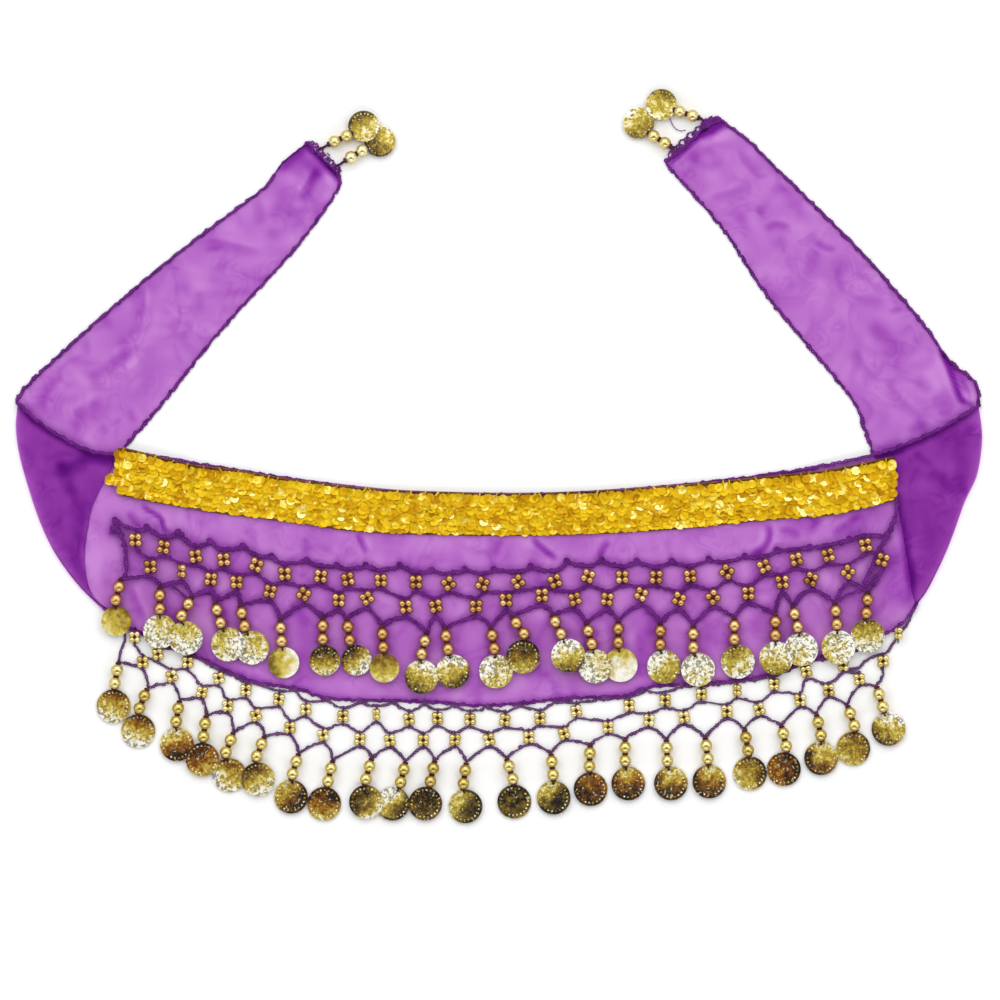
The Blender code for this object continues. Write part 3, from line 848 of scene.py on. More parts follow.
RIGHT_TIE_CREASES = rows_of(
    Crease,
    (((684, 160), (700, 146), (716, 140)), 9, 9, 0.3, 0.19),
    (((938, 342), (947, 362), (953, 378), (960, 396), (967, 410)), 1.4, 1.9, 1.1, 0.95),
    (((944, 352), (958, 374), (970, 396)), 3, 2.6, 0.2, 0.5),
    (((964, 380), (972, 390), (975, 404)), 1.4, 1.4, 0.2, -0.3),
    (((960, 398), (970, 404), (976, 404)), 1.5, 1.5, 0.2, 0.45),
    (((934, 390), (944, 402), (956, 410)), 6, 6, 0.2, 0.12),
    (((812, 240), (826, 248), (838, 249)), 2.2, 1.6, 1, 0.26),
    (((816, 246), (810, 262), (806, 276)), 4, 2.4, 0.7, 0.13),
    (((835, 266), (838, 281), (844, 297)), 3, 1, 0.9, 0.19),
    (((853, 270), (872, 284), (883, 291)), 2.4, 1.8, 0.8, 0.16),
    (((848, 297), (868, 300), (890, 302)), 1.6, 4, 0.6, 0.1), (((889, 311), (903, 308)), 1.2, 2, 0.7, 0.24),
    (((866, 322), (888, 339), (898, 362)), 4.4, 4, 0.9, 0.19),
    (((854, 346), (861, 361), (874, 380)), 1.6, 3.6, 0.9, 0.2),
    (((885, 381), (898, 397), (913, 411), (929, 428)), 1.8, 4.6, 1, 0.2),
    (((916, 374), (931, 394)), 3, 3, 0.6, 0.12), (((790, 276), (791, 290)), 2, 2.6, 0.5, 0.1),
    (((924, 332), (914, 344)), 2.4, 2.4, 0.5, 0.12),
    (((690, 152), (707, 166), (722, 160)), 2.6, 2.6, 0.9, 0.12),
    (((737, 146), (744, 161), (761, 179)), 3, 1.4, 0.9, 0.19),
    (((755, 178), (768, 175)), 1.4, 1.4, 0.5, 0.19),
    (((707, 199), (735, 191), (748, 183)), 1.6, 3.6, 0.8, 0.16),
    (((759, 203), (761, 216)), 2, 2, 0.5, 0.13),
    (((763, 231), (775, 224), (792, 228)), 1.6, 2.6, 0.9, 0.27),
    (((769, 189), (788, 191)), 2.6, 3, 0.5, 0.1),
    (((694, 134), (706, 130), (716, 125), (728, 119)), 2.4, 3.4, 1, 1.15),
    (((712, 127), (700, 137), (690, 146), (678, 157), (668, 168)), 1, 1.6, 0.6, 0.7),
    (((688, 176), (696, 156), (712, 150)), 2.2, 2.2, 0.6, 0.08),
    (((905, 432), (930, 424)), 3, 2, 0.6, 0.22))
LEFT_TIP_CREASES = rows_of(
    Crease,
    (((282, 172), (306, 158), (334, 176)), 7.5, 7.5, 0.4, 0.48),
    (((268, 240), (284, 224), (296, 204)), 6, 6, 0.3, 0.14),
    (((274, 174), (292, 152), (312, 142)), 2.4, 4, 0.9, 0.55),
    (((302, 138), (322, 156), (344, 184)), 2.4, 2.6, 0.8, 0.95),
    (((322, 166), (312, 180), (306, 200)), 2.4, 2.4, 0.5, 0.3))


def crease_field(creases: Sequence[Crease], points: Points) -> tuple[np.ndarray, np.ndarray]:
    """Work out how creases lift and darken the cloth at points in plan.

    Args:
        creases: the creases.
        points: plan points in millimetres.

    Returns:
        The rise in millimetres and the shade at each point.
    """
    fade = 0.25
    # Each crease's core is denser cloth with painted shade; the lighter flank beside it is a painted
    # highlight.
    flank_at, flank_width, flank_depth = 1.9, 0.8, 0.22
    rise = np.zeros(len(points))
    shade = np.zeros(len(points))
    for crease in creases:
        line = smooth_line(from_grid(crease.line), steps=6)
        reach = 3.2 * max(crease.left, crease.right)
        near = np.all((points > line.min(0) - reach) & (points < line.max(0) + reach), axis=1)
        spots = points[near]
        if not len(spots):
            continue
        starts, steps = line[:-1], np.diff(line, axis=0)
        lengths = np.linalg.norm(steps, axis=1)
        away = spots[:, None] - starts
        along = np.clip((away * steps).sum(2) / lengths ** 2, 0.0, 1.0)
        offset = away - along[:, :, None] * steps
        distance = np.linalg.norm(offset, axis=2)
        closest = distance.argmin(1)
        row = np.arange(len(spots))
        side = steps[closest, 0] * away[row, closest, 1] - steps[closest, 1] * away[row, closest, 0]
        width = np.where(side > 0, crease.left, crease.right)
        gone = (travelled(line)[closest] + along[row, closest] * lengths[closest]) / lengths.sum()
        ends = smooth_step(gone / fade) * smooth_step((1.0 - gone) / fade)
        ratio = distance[row, closest] / width
        core = np.exp(-ratio ** 2)
        flank_highlight = np.exp(-((ratio - flank_at) / flank_width) ** 2)
        rise[near] += crease.rise * ends * core * (1.0 - 0.7 * ratio ** 2)
        shade[near] += crease.shade * ends * (core - flank_depth * flank_highlight)
    return rise, shade


def cloud(points: Points, size_mm: float, seed: int, waves: int = 36) -> np.ndarray:
    """Return a smooth random value, of spread 1 about 0, at plan points.

    Args:
        points: plan points in millimetres.
        size_mm: how wide a patch of one sign is.
        seed: which field it is.
        waves: how many plane waves are added up.

    Returns:
        One value a point.
    """
    rng = np.random.default_rng(seed)
    angles = rng.uniform(0.0, 2 * math.pi, waves)
    numbers = math.pi / size_mm * rng.uniform(0.55, 1.45, waves)
    phases = rng.uniform(0.0, 2 * math.pi, waves)
    turns = points[:, :1] * (numbers * np.cos(angles)) + points[:, 1:] * (numbers * np.sin(angles))
    return np.cos(turns + phases).sum(1) * math.sqrt(2.0 / waves)


def crumples(points: Points, seed: int) -> np.ndarray:
    """Return the shade of the cloth's small crumples: soft patches and thin broken lines.

    Args:
        points: plan points in millimetres.
        seed: which crumples they are.

    Returns:
        One shade a point.
    """
    warp_mm, warp_size = 3.0, 24.0
    sizes_widths_strengths = ((26.0, 0.16, 0.15), (15.0, 0.20, 0.11))
    moved = points + warp_mm * np.column_stack([cloud(points, warp_size, seed + 5),
                                                cloud(points, warp_size, seed + 6)])
    patches = 0.045 * cloud(moved, 16.0, seed) + 0.030 * cloud(moved, 6.5, seed + 1)
    lines = np.zeros(len(points))
    for index, (size, width, strength) in enumerate(sizes_widths_strengths):
        line = np.exp(-(cloud(moved, size, seed + 10 + index) / width) ** 2)
        seen = smooth_step(cloud(points, size * 0.9, seed + 20 + index) * 0.9 + 0.1)
        lines += strength * line * seen
    return patches + lines


@dataclass
class ClothMesh:
    """The points, shades and faces of the strip, as they are laid down grid by grid."""

    vertices: Points = field(default_factory=lambda: np.zeros((0, 3)))
    shades: np.ndarray = field(default_factory=lambda: np.zeros(0))
    faces: list[tuple[int, ...]] = field(default_factory=list)

    def add(self, plan: Points, heights: np.ndarray, shade: np.ndarray,
            flip: bool | None = None) -> np.ndarray:
        """Add points in rows, and the faces between them.

        Args:
            plan: the points in plan, in rows.
            heights: their heights.
            shade: how dark the cloth looks at each, from its density and painted shade.
            flip: whether the faces look the other way, or None for no faces.

        Returns:
            The points' numbers, in the same rows.
        """
        numbers = np.arange(heights.size).reshape(plan.shape[:-1]) + len(self.vertices)
        points = np.column_stack([plan.reshape(-1, 2), heights])
        self.vertices = np.vstack([self.vertices, points])
        self.shades = np.concatenate([self.shades, shade])
        if flip is not None:
            self.faces += quads(numbers, flip)
        return numbers


@dataclass
class ChiffonStrip:
    """The one strip of chiffon: front panel, turned folds and both ties, as a thin closed shell."""

    finish: Material
    columns: int = 360
    rows: int = 74
    rungs: int = 146
    across: int = 38
    bend_steps: int = 4
    panel_shade: float = 0.135
    tie_shade: float = 0.165
    bend_shade: float = 0.10
    doubled_shade: float = -0.05
    doubled_from: float = 214.0
    doubled_over: float = 10.0
    fold_glow: float = 0.16
    fold_glow_reach: float = 3.4
    pressed: float = 0.15
    pressed_until: float = 12.0
    crumpled_patch: float = 13.0
    cloth_mm: float = 0.22
    weld_mm: float = 0.002
    lifted_from: tuple[float, float] = (-190.0, 196.0)
    flat_from: tuple[float, float] = (-152.0, 158.0)
    flat_size: tuple[float, float] = (0.125, 0.98)
    cut_area: float = 0.0790

    def lift(self, x: np.ndarray) -> np.ndarray:
        """Return how far the panel is raised over the ties, in millimetres, at places along X."""
        left = (self.flat_from[0] - x) / (self.flat_from[0] - self.lifted_from[0])
        right = (x - self.flat_from[1]) / (self.lifted_from[1] - self.flat_from[1])
        return LIFT * smooth_step(np.maximum(left, right))

    def panel_height(self, points: Points) -> np.ndarray:
        """Return the height of the panel's middle at plan points, in millimetres."""
        rise, _ = crease_field(PANEL_CREASES, points)
        return CLOTH_MIDDLE + self.lift(points[:, 0]) + rise

    def over(self, plan: Points, rise: float | np.ndarray) -> Points:
        """Return plan points raised over the panel's middle, three numbers a point."""
        return on_height(plan, self.panel_height(plan) + rise)

    def fold_edge(self, fold: Outline) -> Points:
        """Return the line where the cloth starts to turn round a fold, just inside the fold.

        Args:
            fold: the fold's line, from its top down.

        Returns:
            The line's points, one for each row of the panel.
        """
        line = evenly(smooth_line(fold), self.rows)
        inward = leftward(line)
        middle = np.array((0.0, line[:, 1].mean()))
        inward[((middle - line) * inward).sum(1) < 0] *= -1
        return line + inward * BEND_RADIUS

    def near_fold(self, points: Points, *edges: Points) -> np.ndarray:
        """Return how much lighter the cloth is close to a fold."""
        away = np.min([np.linalg.norm(points[:, None] - edge[::3], axis=2).min(1) for edge in edges], 0)
        return self.fold_glow * np.exp(-(away / self.fold_glow_reach) ** 2)

    def panel_grid(self, left: Points, right: Points) -> Points:
        """Return the panel's plan points, rows from the top hem down, as a Coons patch.

        Args:
            left: the points of its left side, from the top down.
            right: those of its right side.

        Returns:
            The points, in rows.
        """
        top = evenly(smooth_line(TOP_HEM), self.columns)
        bottom = evenly(smooth_line(BOTTOM_HEM), self.columns)
        top[[0, -1]] = left[0], right[0]
        bottom[[0, -1]] = left[-1], right[-1]
        u = np.linspace(0.0, 1.0, self.columns + 1)[None, :, None]
        v = np.linspace(0.0, 1.0, self.rows + 1)[:, None, None]
        ruled = (1 - v) * top[None] + v * bottom[None] + (1 - u) * left[:, None] + u * right[:, None]
        corners = ((1 - v) * ((1 - u) * left[0] + u * right[0])
                   + v * ((1 - u) * left[-1] + u * right[-1]))
        return ruled - corners

    def tie_grid(self, tie: TieCut, fold_edge: Points) -> Points:
        """Return a tie's plan points, in rows from its inner hem outwards.

        Args:
            tie: the tie's cut.
            fold_edge: the line where the cloth turns, from the top of the fold down.

        Returns:
            The points, one row for each rung from the fold's foot to the tip.
        """
        hidden, shown = tie.inner_parts()
        outer = np.vstack([fold_edge[::-1], evenly(smooth_line(tie.outer), self.rungs)[1:]])
        inner = np.vstack([evenly(hidden, self.rows), evenly(shown, self.rungs)[1:]])
        part = np.linspace(0.0, 1.0, self.across + 1)[None, :, None]
        return inner[:, None] * (1 - part) + outer[:, None] * part

    def build(self) -> Piece:
        """Build the whole strip as one piece.

        Returns:
            The piece.
        """
        left, right = self.fold_edge(LEFT_FOLD), self.fold_edge(RIGHT_FOLD)
        cloth = ClothMesh()
        grid = self.panel_grid(left, right)
        points = grid.reshape(-1, 2)
        rise, shade = crease_field(PANEL_CREASES, points)
        shade += self.panel_shade + crumples(points, 3) - self.near_fold(points, left, right)
        doubled = smooth_step((np.abs(points[:, 0]) - self.doubled_from) / self.doubled_over)
        shade += self.doubled_shade * doubled
        heights = CLOTH_MIDDLE + self.lift(points[:, 0]) + rise
        panel = cloth.add(grid, heights, shade, flip=True)
        for sign, tie, edge, marks, column in (
                (-1, LEFT_TIE, left, LEFT_TIE_CREASES + LEFT_TIP_CREASES, panel[:, 0]),
                (1, RIGHT_TIE, right, RIGHT_TIE_CREASES, panel[:, -1])):
            grid = self.tie_grid(tie, edge)
            points = grid.reshape(-1, 2)
            rise, shade = crease_field(marks, points)
            shade += self.tie_shade + crumples(points, 50 + sign)
            shade -= self.near_fold(points, edge)
            free = smooth_step(points[:, 1] / self.pressed_until)
            rise *= self.pressed + (1.0 - self.pressed) * free
            table = cloth.add(grid, CLOTH_MIDDLE + rise, shade, flip=sign > 0)
            self.add_bend(cloth, sign, edge, column, table[:self.rows + 1, -1][::-1])
        strip = make_piece("chiffon_strip", Shape(cloth.vertices, cloth.faces),
                           [self.finish], ("front_panel", "tie_left", "tie_right"), smooth_degrees=180.0)
        # The fold value holds the cloth's density with painted crease shade, painted highlights beside
        # creases, and broad patches of painted shade.
        paint(strip, "fold", cloth.shades)
        patches = cloud(cloth.vertices[:, :2], self.crumpled_patch, 90)
        paint(strip, "crumple", smooth_step(0.45 + 0.55 * patches))
        self.weld(strip)
        give_wall(strip, self.cloth_mm * MM)
        strip.data.shade_smooth()
        return strip

    def add_bend(self, cloth: ClothMesh, sign: int, edge: Points, column: np.ndarray,
                 under: np.ndarray) -> None:
        """Add the cloth that turns round a fold, from the panel's edge down to the tie's.

        Args:
            cloth: the mesh so far.
            sign: -1 at the left fold and 1 at the right.
            edge: the line where the cloth starts to turn, from the top of the fold down.
            column: the point numbers of the panel's edge.
            under: the point numbers of the tie's edge below it.
        """
        outward = leftward(edge)
        outward *= math.copysign(1.0, (outward[:, 0] * sign).mean())
        top, bottom = cloth.vertices[column, 2], cloth.vertices[under, 2]
        table = [column]
        for step in range(1, self.bend_steps):
            angle = math.pi * step / self.bend_steps
            plan = edge + outward * BEND_RADIUS * math.sin(angle)
            height = (top + bottom) / 2 + (top - bottom) / 2 * math.cos(angle)
            table.append(cloth.add(plan, height, np.full(len(plan), self.bend_shade)))
        cloth.faces += quads(np.array([*table, under]), sign < 0)

    def weld(self, strip: Piece) -> None:
        """Weld the strip's grids along their common edges.

        Args:
            strip: the strip, before it has its wall.
        """
        sketch = bmesh.new()
        sketch.from_mesh(strip.data)
        bmesh.ops.remove_doubles(sketch, verts=sketch.verts, dist=self.weld_mm * MM)
        sketch.to_mesh(strip.data)
        sketch.free()


# ---- Crochet: chains of links ----

def chain_link() -> Shape:
    """Model one crochet chain link, 1 mm long for each repeat, with its narrow tail behind and low.

    Returns:
        The link.
    """
    with shaping(bpy.ops.mesh.primitive_torus_add, major_segments=9, minor_segments=5,
                 major_radius=0.48, minor_radius=0.40) as link:
        select_where(link, lambda co: co.x < -0.2)
        bpy.ops.transform.resize(value=(1.0, 0.55, 1.0), center_override=(0.0, 0.0, 0.0))
        bpy.ops.transform.translate(value=(-0.22, 0.0, -0.16))
        select_where(link, lambda co: co.x > 0.3)
        bpy.ops.transform.translate(value=(0.06, 0.0, 0.14))
    return Shape.taken_from(link)


@dataclass
class Crochet:
    """Works chains of crochet links along lines."""

    pitch: float = 1.85
    link_width: float = 1.72
    uneven: float = 0.18
    wobble: float = 0.15
    roll: float = 0.10
    link_share: float = 0.86
    seed: int = 7
    link: Shape = field(default_factory=chain_link)

    def chain(self, line: Points, width: float, swing: float, swing_links: int = 4) -> Shape:
        """Return a chain of links along a line in space.

        Args:
            line: the chain's centre line in millimetres, three numbers a point.
            width: how wide the links are.
            swing: how far the chain swings from side to side.
            swing_links: how many links each swing has.

        Returns:
            The joined links.
        """
        count = max(1, round(travelled(line)[-1] / self.pitch))
        places = evenly(line, count)
        ahead = unit(directions(places) if count > 1 else np.tile(line[-1] - line[0], (2, 1)))
        side = unit(np.cross(UP, ahead))
        rng = np.random.default_rng(self.seed + len(places))
        turn = rng.normal(0.0, self.roll, len(places))[:, None]
        side, lift = side + turn * np.cross(ahead, side), np.cross(ahead, side)
        swings = swing * np.sin(np.arange(len(places)) * 2 * math.pi / swing_links)
        places = places + side * (swings + rng.normal(0.0, self.wobble, len(places)))[:, None]
        size = width / self.link_width
        wide = size * rng.normal(1.0, self.uneven, len(places))[:, None]
        axes = np.stack([ahead * self.pitch * self.link_share, side * wide, lift * size], axis=1)
        return self.link.copied(axes, places)


RIGHT_CORNER_GATHERS = (((703, 125), (709, 121), (713, 119), (719, 119)),
                        ((704, 128), (709, 124), (714, 122), (719, 121.5)))


@dataclass
class Edging:
    """The crocheted edging round the whole hem, one piece for each stretch that shows."""

    strip: ChiffonStrip
    crochet: Crochet
    finish: Material
    width: float = 2.0
    swing: float = 0.22
    over_cloth: float = 0.25
    over_floor: float = CLOTH_MIDDLE + 0.2
    hidden_width: float = 0.16
    rolled_width: float = 0.9
    tip_width: float = 2.2
    gathers_width: float = 3.0
    lead_width: float = 1.6
    lace_width: float = 0.95
    lace_loops: int = 6
    lace_reaches: tuple[float, float, float] = (2.9, 1.2, 3.8)
    tucked_within: float = 150.0
    tuck_over: float = 60.0
    least_height: float = 0.38

    def panel_hem(self, name: str, hem: Outline, node: str, tuck: float = 0.0) -> Piece:
        """Work the edging along one hem of the panel.

        Args:
            name: the piece's name.
            hem: the hem's points.
            node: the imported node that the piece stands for.
            tuck: how far it is tucked in at its middle, in millimetres.

        Returns:
            The piece.
        """
        plan = smooth_line(hem)
        plan[:, 1] -= tuck * smooth_step((self.tucked_within - np.abs(plan[:, 0])) / self.tuck_over)
        chain = self.crochet.chain(self.strip.over(plan, self.over_cloth), self.width, self.swing)
        return self.work(name, [chain], node)

    def tie_hem(self, name: str, tie: TieCut, node: str, hangs: Sequence[Hang], lead: float,
                stop: float = 1.0) -> Piece:
        """Work the edging up a tie's outer hem, across its tip with a lace of loops, and down its inner
        hem, with the thread that leads to each tip dangle.

        Args:
            name: the piece's name.
            tie: the tie's cut.
            node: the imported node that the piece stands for.
            hangs: the dangles at the tip.
            lead: how far each dangle's first bead is from where it hangs.
            stop: the part of the outer hem from which the cloth is rolled over the edging.

        Returns:
            The piece.
        """
        outer, (hidden, shown) = smooth_line(tie.outer), tie.inner_parts()
        tip = evenly(np.vstack([outer[-1:], shown[-1:]]), 24)
        out = leftward(tip)[12]
        if ((outer[-40] + shown[-40]) / 2 - tip[12]) @ out > 0:
            out = -out
        cusps, half_way = evenly(tip, self.lace_loops), evenly(tip, 2 * self.lace_loops)[1::2]
        first, low, high = (out * reach for reach in self.lace_reaches)
        runs = [(at_parts(outer, np.linspace(0.0, stop, 200)), self.width, self.swing),
                (shown, self.width, self.swing), (hidden, self.hidden_width, 0.1),
                (tip, self.tip_width, 0.3), (swag(cusps, half_way + first), self.lace_width, 0.15),
                (swag(half_way + low, cusps[1:-1] + high), self.lace_width, 0.15)]
        if stop < 1.0:
            runs.append((at_parts(outer, np.linspace(stop, 1.0, 30)), self.rolled_width, 0.1))
        else:
            runs += [(smooth_line(from_grid(line)), self.gathers_width, 0.2)
                     for line in RIGHT_CORNER_GATHERS]
        for hang in hangs:
            place = np.array((hang.x, hang.y))
            foot = tip[np.linalg.norm(tip - place, axis=1).argmin()]
            stops = [foot, place, place + lean_direction(hang.bead_lean) * (lead - 3.0)]
            runs.append((np.vstack(stops), self.lead_width, 0.2))
        chains = []
        for line, width, swing in runs:
            heights = np.full(len(line), max(self.over_floor, self.least_height * width))
            chains.append(self.crochet.chain(on_height(line, heights), width, swing))
        return self.work(name, chains, node)

    def work(self, name: str, chains: Sequence[Shape], node: str) -> Piece:
        """Make a piece from its chains."""
        return make_piece(name, Shape.joined(chains), [self.finish], (node,))

    def build(self) -> list[Piece]:
        """Work all four stretches.

        Returns:
            Their pieces, and the loose thread.
        """
        return [self.panel_hem("crochet_edging_top", TOP_HEM, "edging_top", 1.2),
                self.panel_hem("crochet_edging_bottom", BOTTOM_HEM, "edging_bottom"),
                self.tie_hem("crochet_edging_tie_left", LEFT_TIE, "edging_tie_left", LEFT_TIP_HANGS,
                             LEFT_TIP_LEAD, 0.88),
                self.tie_hem("crochet_edging_tie_right", RIGHT_TIE, "edging_tie_right",
                             RIGHT_TIP_HANGS, RIGHT_TIP_LEAD),
                self.loose_thread()]

    def loose_thread(self) -> Piece:
        """Make the loose sewing thread at the right tip."""
        route = from_grid(((669, 111), (670, 119), (674, 127), (680, 131), (686, 130)))
        thread = sweep(on_height(smooth_line(route, 6), np.full(25, 1.0)), 0.25, 5)
        return make_piece("loose_tip_thread", thread, [self.finish])


# ---- Bead nets ----

class Cell(NamedTuple):
    """One cell of a net: its upper and lower bead cross on the drawing grid, and how far each is
    turned, in degrees.  A turn of 90 stands the cross on edge."""

    upper: tuple[float, float]
    upper_turn: float
    lower: tuple[float, float]
    lower_turn: float


EDGE_ON = 90.0
UPPER_PEAKS = (
    (115.5, 519), (147, 526), (178, 532), (210, 540), (243, 545), (272, 555), (307, 559), (337, 564),
    (366, 564), (400, 564), (432, 569), (465, 568), (494, 568), (531, 565), (567, 560), (602, 559),
    (637, 560), (672, 560), (709, 558), (745, 555), (777, 549), (810, 546), (849, 538), (886, 535))
UPPER_CELLS = rows_of(
    Cell,
    ((136, 540), 0, (151, 566.5), 2), ((164, 547), -12, (182, 571), EDGE_ON),
    ((196, 556), 10, (211, 579), -6), ((224, 559.5), 4, (237, 582), 0),
    ((256.5, 565), -24, (270, 591), -12), ((285, 573.5), 2, (304, 594), -32),
    ((321, 576), -8, (339, 600), -4), ((348, 579), 12, (367, 598), 34), ((381, 580), 0, (406, 606.5), 8),
    ((416, 582), 2, (436, 606), 14), ((448.5, 583.5), 32, (476, 606), 0),
    ((482.6, 583.5), -24, (506, 600), 0), ((518, 581.6), 36, (542, 595), 2),
    ((555, 581), 20, (575, 599), 18), ((588, 576), -22, (607, 599), -8), ((622, 576.5), 0, (641, 594), -28),
    ((656, 577), 0, (679, 599), -22), ((690, 576), 6, (713, 597), 40), ((726.6, 571.6), -32, (748, 593), 0),
    ((764, 566), 26, (782, 582), 6), ((796, 559), 14, (811, 579), -26), ((828, 555), 16, (847.5, 572), -34),
    ((865, 545), 10, (882, 559.5), -20))
LOWER_CELLS = rows_of(
    Cell,
    ((135, 637), 0, (143, 662), 0), ((158, 654), 10, (172, 676), 20), ((188, 662), 0, (202, 692), -10),
    ((219, 678), 10, (228, 706), 0), ((246, 690), 0, (256, 715), 20), ((279, 699), -10, (290, 727.5), 0),
    ((306, 709), 0, (323.5, 735), 10), ((343, 716), 0, (360, 739), 0),
    ((376.5, 714), EDGE_ON, (390, 740), 10), ((409, 719), 10, (423.5, 740), 0),
    ((437.5, 718), 0, (455, 739.5), 0), ((470, 719), 0, (489, 739.5), 14),
    ((505, 719.6), -10, (529, 737), 0), ((540, 718), 0, (564, 733.5), 20),
    ((576, 710.5), 10, (608, 727), 0), ((629, 705), 0, (649, 720), -10), ((665, 700), 0, (684, 717), 10),
    ((701, 694), 0, (727, 711), 0), ((737, 690), EDGE_ON, (759, 709), 20), ((774, 684), 0, (800, 700), 0),
    ((806, 671), 10, (828.5, 690), 0), ((843, 665), 0, (859, 679), 10),
    ((898, 633), EDGE_ON, (883, 661), 0))


def round_bead(radius: float, segments: int, rings: int) -> Shape:
    """Model a bead on its own z axis, with a dimple at each end of its hole.

    Args:
        radius: its radius.
        segments: how many sides it has round its hole.
        rings: how many rings of faces it has along its hole.

    Returns:
        The bead.
    """
    with shaping(bpy.ops.mesh.primitive_uv_sphere_add, segments=segments, ring_count=rings,
                 radius=radius) as bead:
        for end in (1.0, -1.0):
            select_where(bead, lambda co: co.z * end > radius * 0.97)
            bpy.ops.transform.translate(value=(0.0, 0.0, -0.3 * radius * end))
    return Shape.taken_from(bead)


@dataclass
class BeadNet:
    """One net: three crochet chains with two rows of bead crosses between them, and its side cords."""

    name: str
    cells: Sequence[Cell]
    hangs: Sequence[Hang]
    peaks: Points
    sides: Sequence[Outline]
    height: Callable[[Points], np.ndarray]
    crochet: Crochet
    yarn: Material
    gold: Material
    cord: Material
    cross_bead: Shape
    bead_tone: float
    cross_radius: float
    reaches: tuple[float, float, float, float]
    widths: tuple[float, float, float]
    open_end: bool = False
    extras: Sequence[tuple[Sequence[tuple[float, float]], float]] = ()
    blobs: Sequence[tuple[float, float, float]] = ()
    knot: Shape = field(default_factory=lambda: round_bead(1.0, 7, 5))
    picot: float = 1.1
    link_width: float = 1.3
    swing: float = 0.12
    yarn_height: float = 0.85
    blob_height: float = 0.9
    cross_gap: float = 0.25
    bead_spin: float = 0.12
    uneven: float = 0.10
    tone_spread: float = 0.12
    edge_on_width: float = 0.42
    edge_on_rise: float = 0.72

    @property
    def cross_pitch(self) -> float:
        """Return how far apart the beads of a cross are."""
        return self.cross_radius * 1.78

    def chains(self) -> list[tuple[Points, float]]:
        """Lay out the net's chains.

        Returns:
            The plan line of each chain, and how wide it is.
        """
        upper = from_grid([cell.upper for cell in self.cells])
        lower = from_grid([cell.lower for cell in self.cells])
        hangs = np.array([(hang.x, hang.y) for hang in self.hangs])
        over, below, above, under = (np.array((0.0, reach)) for reach in self.reaches)
        wide_first, wide_middle, wide_last = self.widths
        cusps = self.peaks - (0.0, self.picot)
        last = -1 if self.open_end else None
        middle = np.stack([upper - below, lower + above], axis=1)[:last].reshape(-1, 2)
        tail = smooth_line(np.vstack([hangs[-1], (hangs[-1] + lower[-1]) / 2 + (1.5, -2.0),
                                      lower[-1] - under]))
        chains = [(swag(cusps[:last], (upper + over)[:last]), wide_first),
                  (smooth_line(middle, 6), wide_middle),
                  (swag(hangs, (lower - under)[:-1]), wide_last), (tail, wide_last)]
        chains += [(smooth_line(from_grid(side)), wide_first) for side in self.sides]
        chains += [(np.array([cusp, peak]), 1.4 * wide_first) for cusp, peak in zip(cusps[:last], self.peaks)]
        chains += [(np.array([place + over, place - below]), self.link_width) for place in upper]
        chains += [(np.array([place + above, place - under]), self.link_width) for place in lower]
        return chains + [(smooth_line(from_grid(line)), width) for line, width in self.extras]

    def ties(self) -> Shape:
        """Tie the beads of a cross together.

        Returns:
            The thread that runs through them, with the knot between them.
        """
        half = self.cross_pitch / 2
        loop = np.array([(half, half, 0.0), (-half, half, 0.0), (-half, -half, 0.0),
                         (half, -half, 0.0), (half, half * 0.8, 0.0)])
        knot = self.knot.turned(Matrix.Diagonal((1.0, 1.0, 1.2, 1.0)))
        return Shape.joined([sweep(loop, 0.5, 5), knot])

    def blob(self, x: float, y: float, radius: float) -> Shape:
        """Return a lump of gathered yarn at a place on the drawing grid."""
        plan = from_grid([(x, y)])
        swell = Matrix.Diagonal((radius, radius, 0.7 * radius, 1.0))
        place = (*plan[0], self.height(plan)[0] + self.blob_height)
        return self.knot.turned(Matrix.Translation(place) @ swell)

    def crosses(self) -> tuple[Points, np.ndarray, np.ndarray]:
        """Work out how the bead crosses sit.

        Returns:
            The middle of each, its turn, and how wide it looks.
        """
        crosses = [(cell.upper, cell.upper_turn) for cell in self.cells]
        crosses += [(cell.lower, cell.lower_turn) for cell in self.cells]
        plan = from_grid([place for place, _ in crosses])
        turns = np.array([turn for _, turn in crosses], float)
        on_edge = turns == EDGE_ON
        return (on_height(plan, self.height(plan) + self.cross_radius + self.cross_gap),
                np.radians(np.where(on_edge, 0.0, turns)), np.where(on_edge, self.edge_on_width, 1.0))

    def work(self) -> Piece:
        """Work the net's chains and gathers, and tie its crosses.

        Returns:
            The piece.
        """
        shapes = []
        for line, width in self.chains():
            plan = evenly(line, max(2, int(travelled(line)[-1] / 1.2)))
            heights = self.height(plan) + self.yarn_height
            shapes.append(self.crochet.chain(on_height(plan, heights), width, self.swing, 5))
        shapes += [self.blob(*blob) for blob in self.blobs]
        places, angles, widths = self.crosses()
        axes = [np.array(Matrix.Rotation(angle, 3, "Z")).T * (width, 1.0, 1.0)
                for angle, width in zip(angles, widths)]
        ties = self.ties().copied(np.array(axes), places)
        counts = [sum(len(shape.faces) for shape in shapes), len(ties.faces)]
        return make_piece(f"crochet_{self.name}", Shape.joined([*shapes, ties]),
                          [self.yarn, self.cord], (self.name,), np.repeat([0, 1], counts))

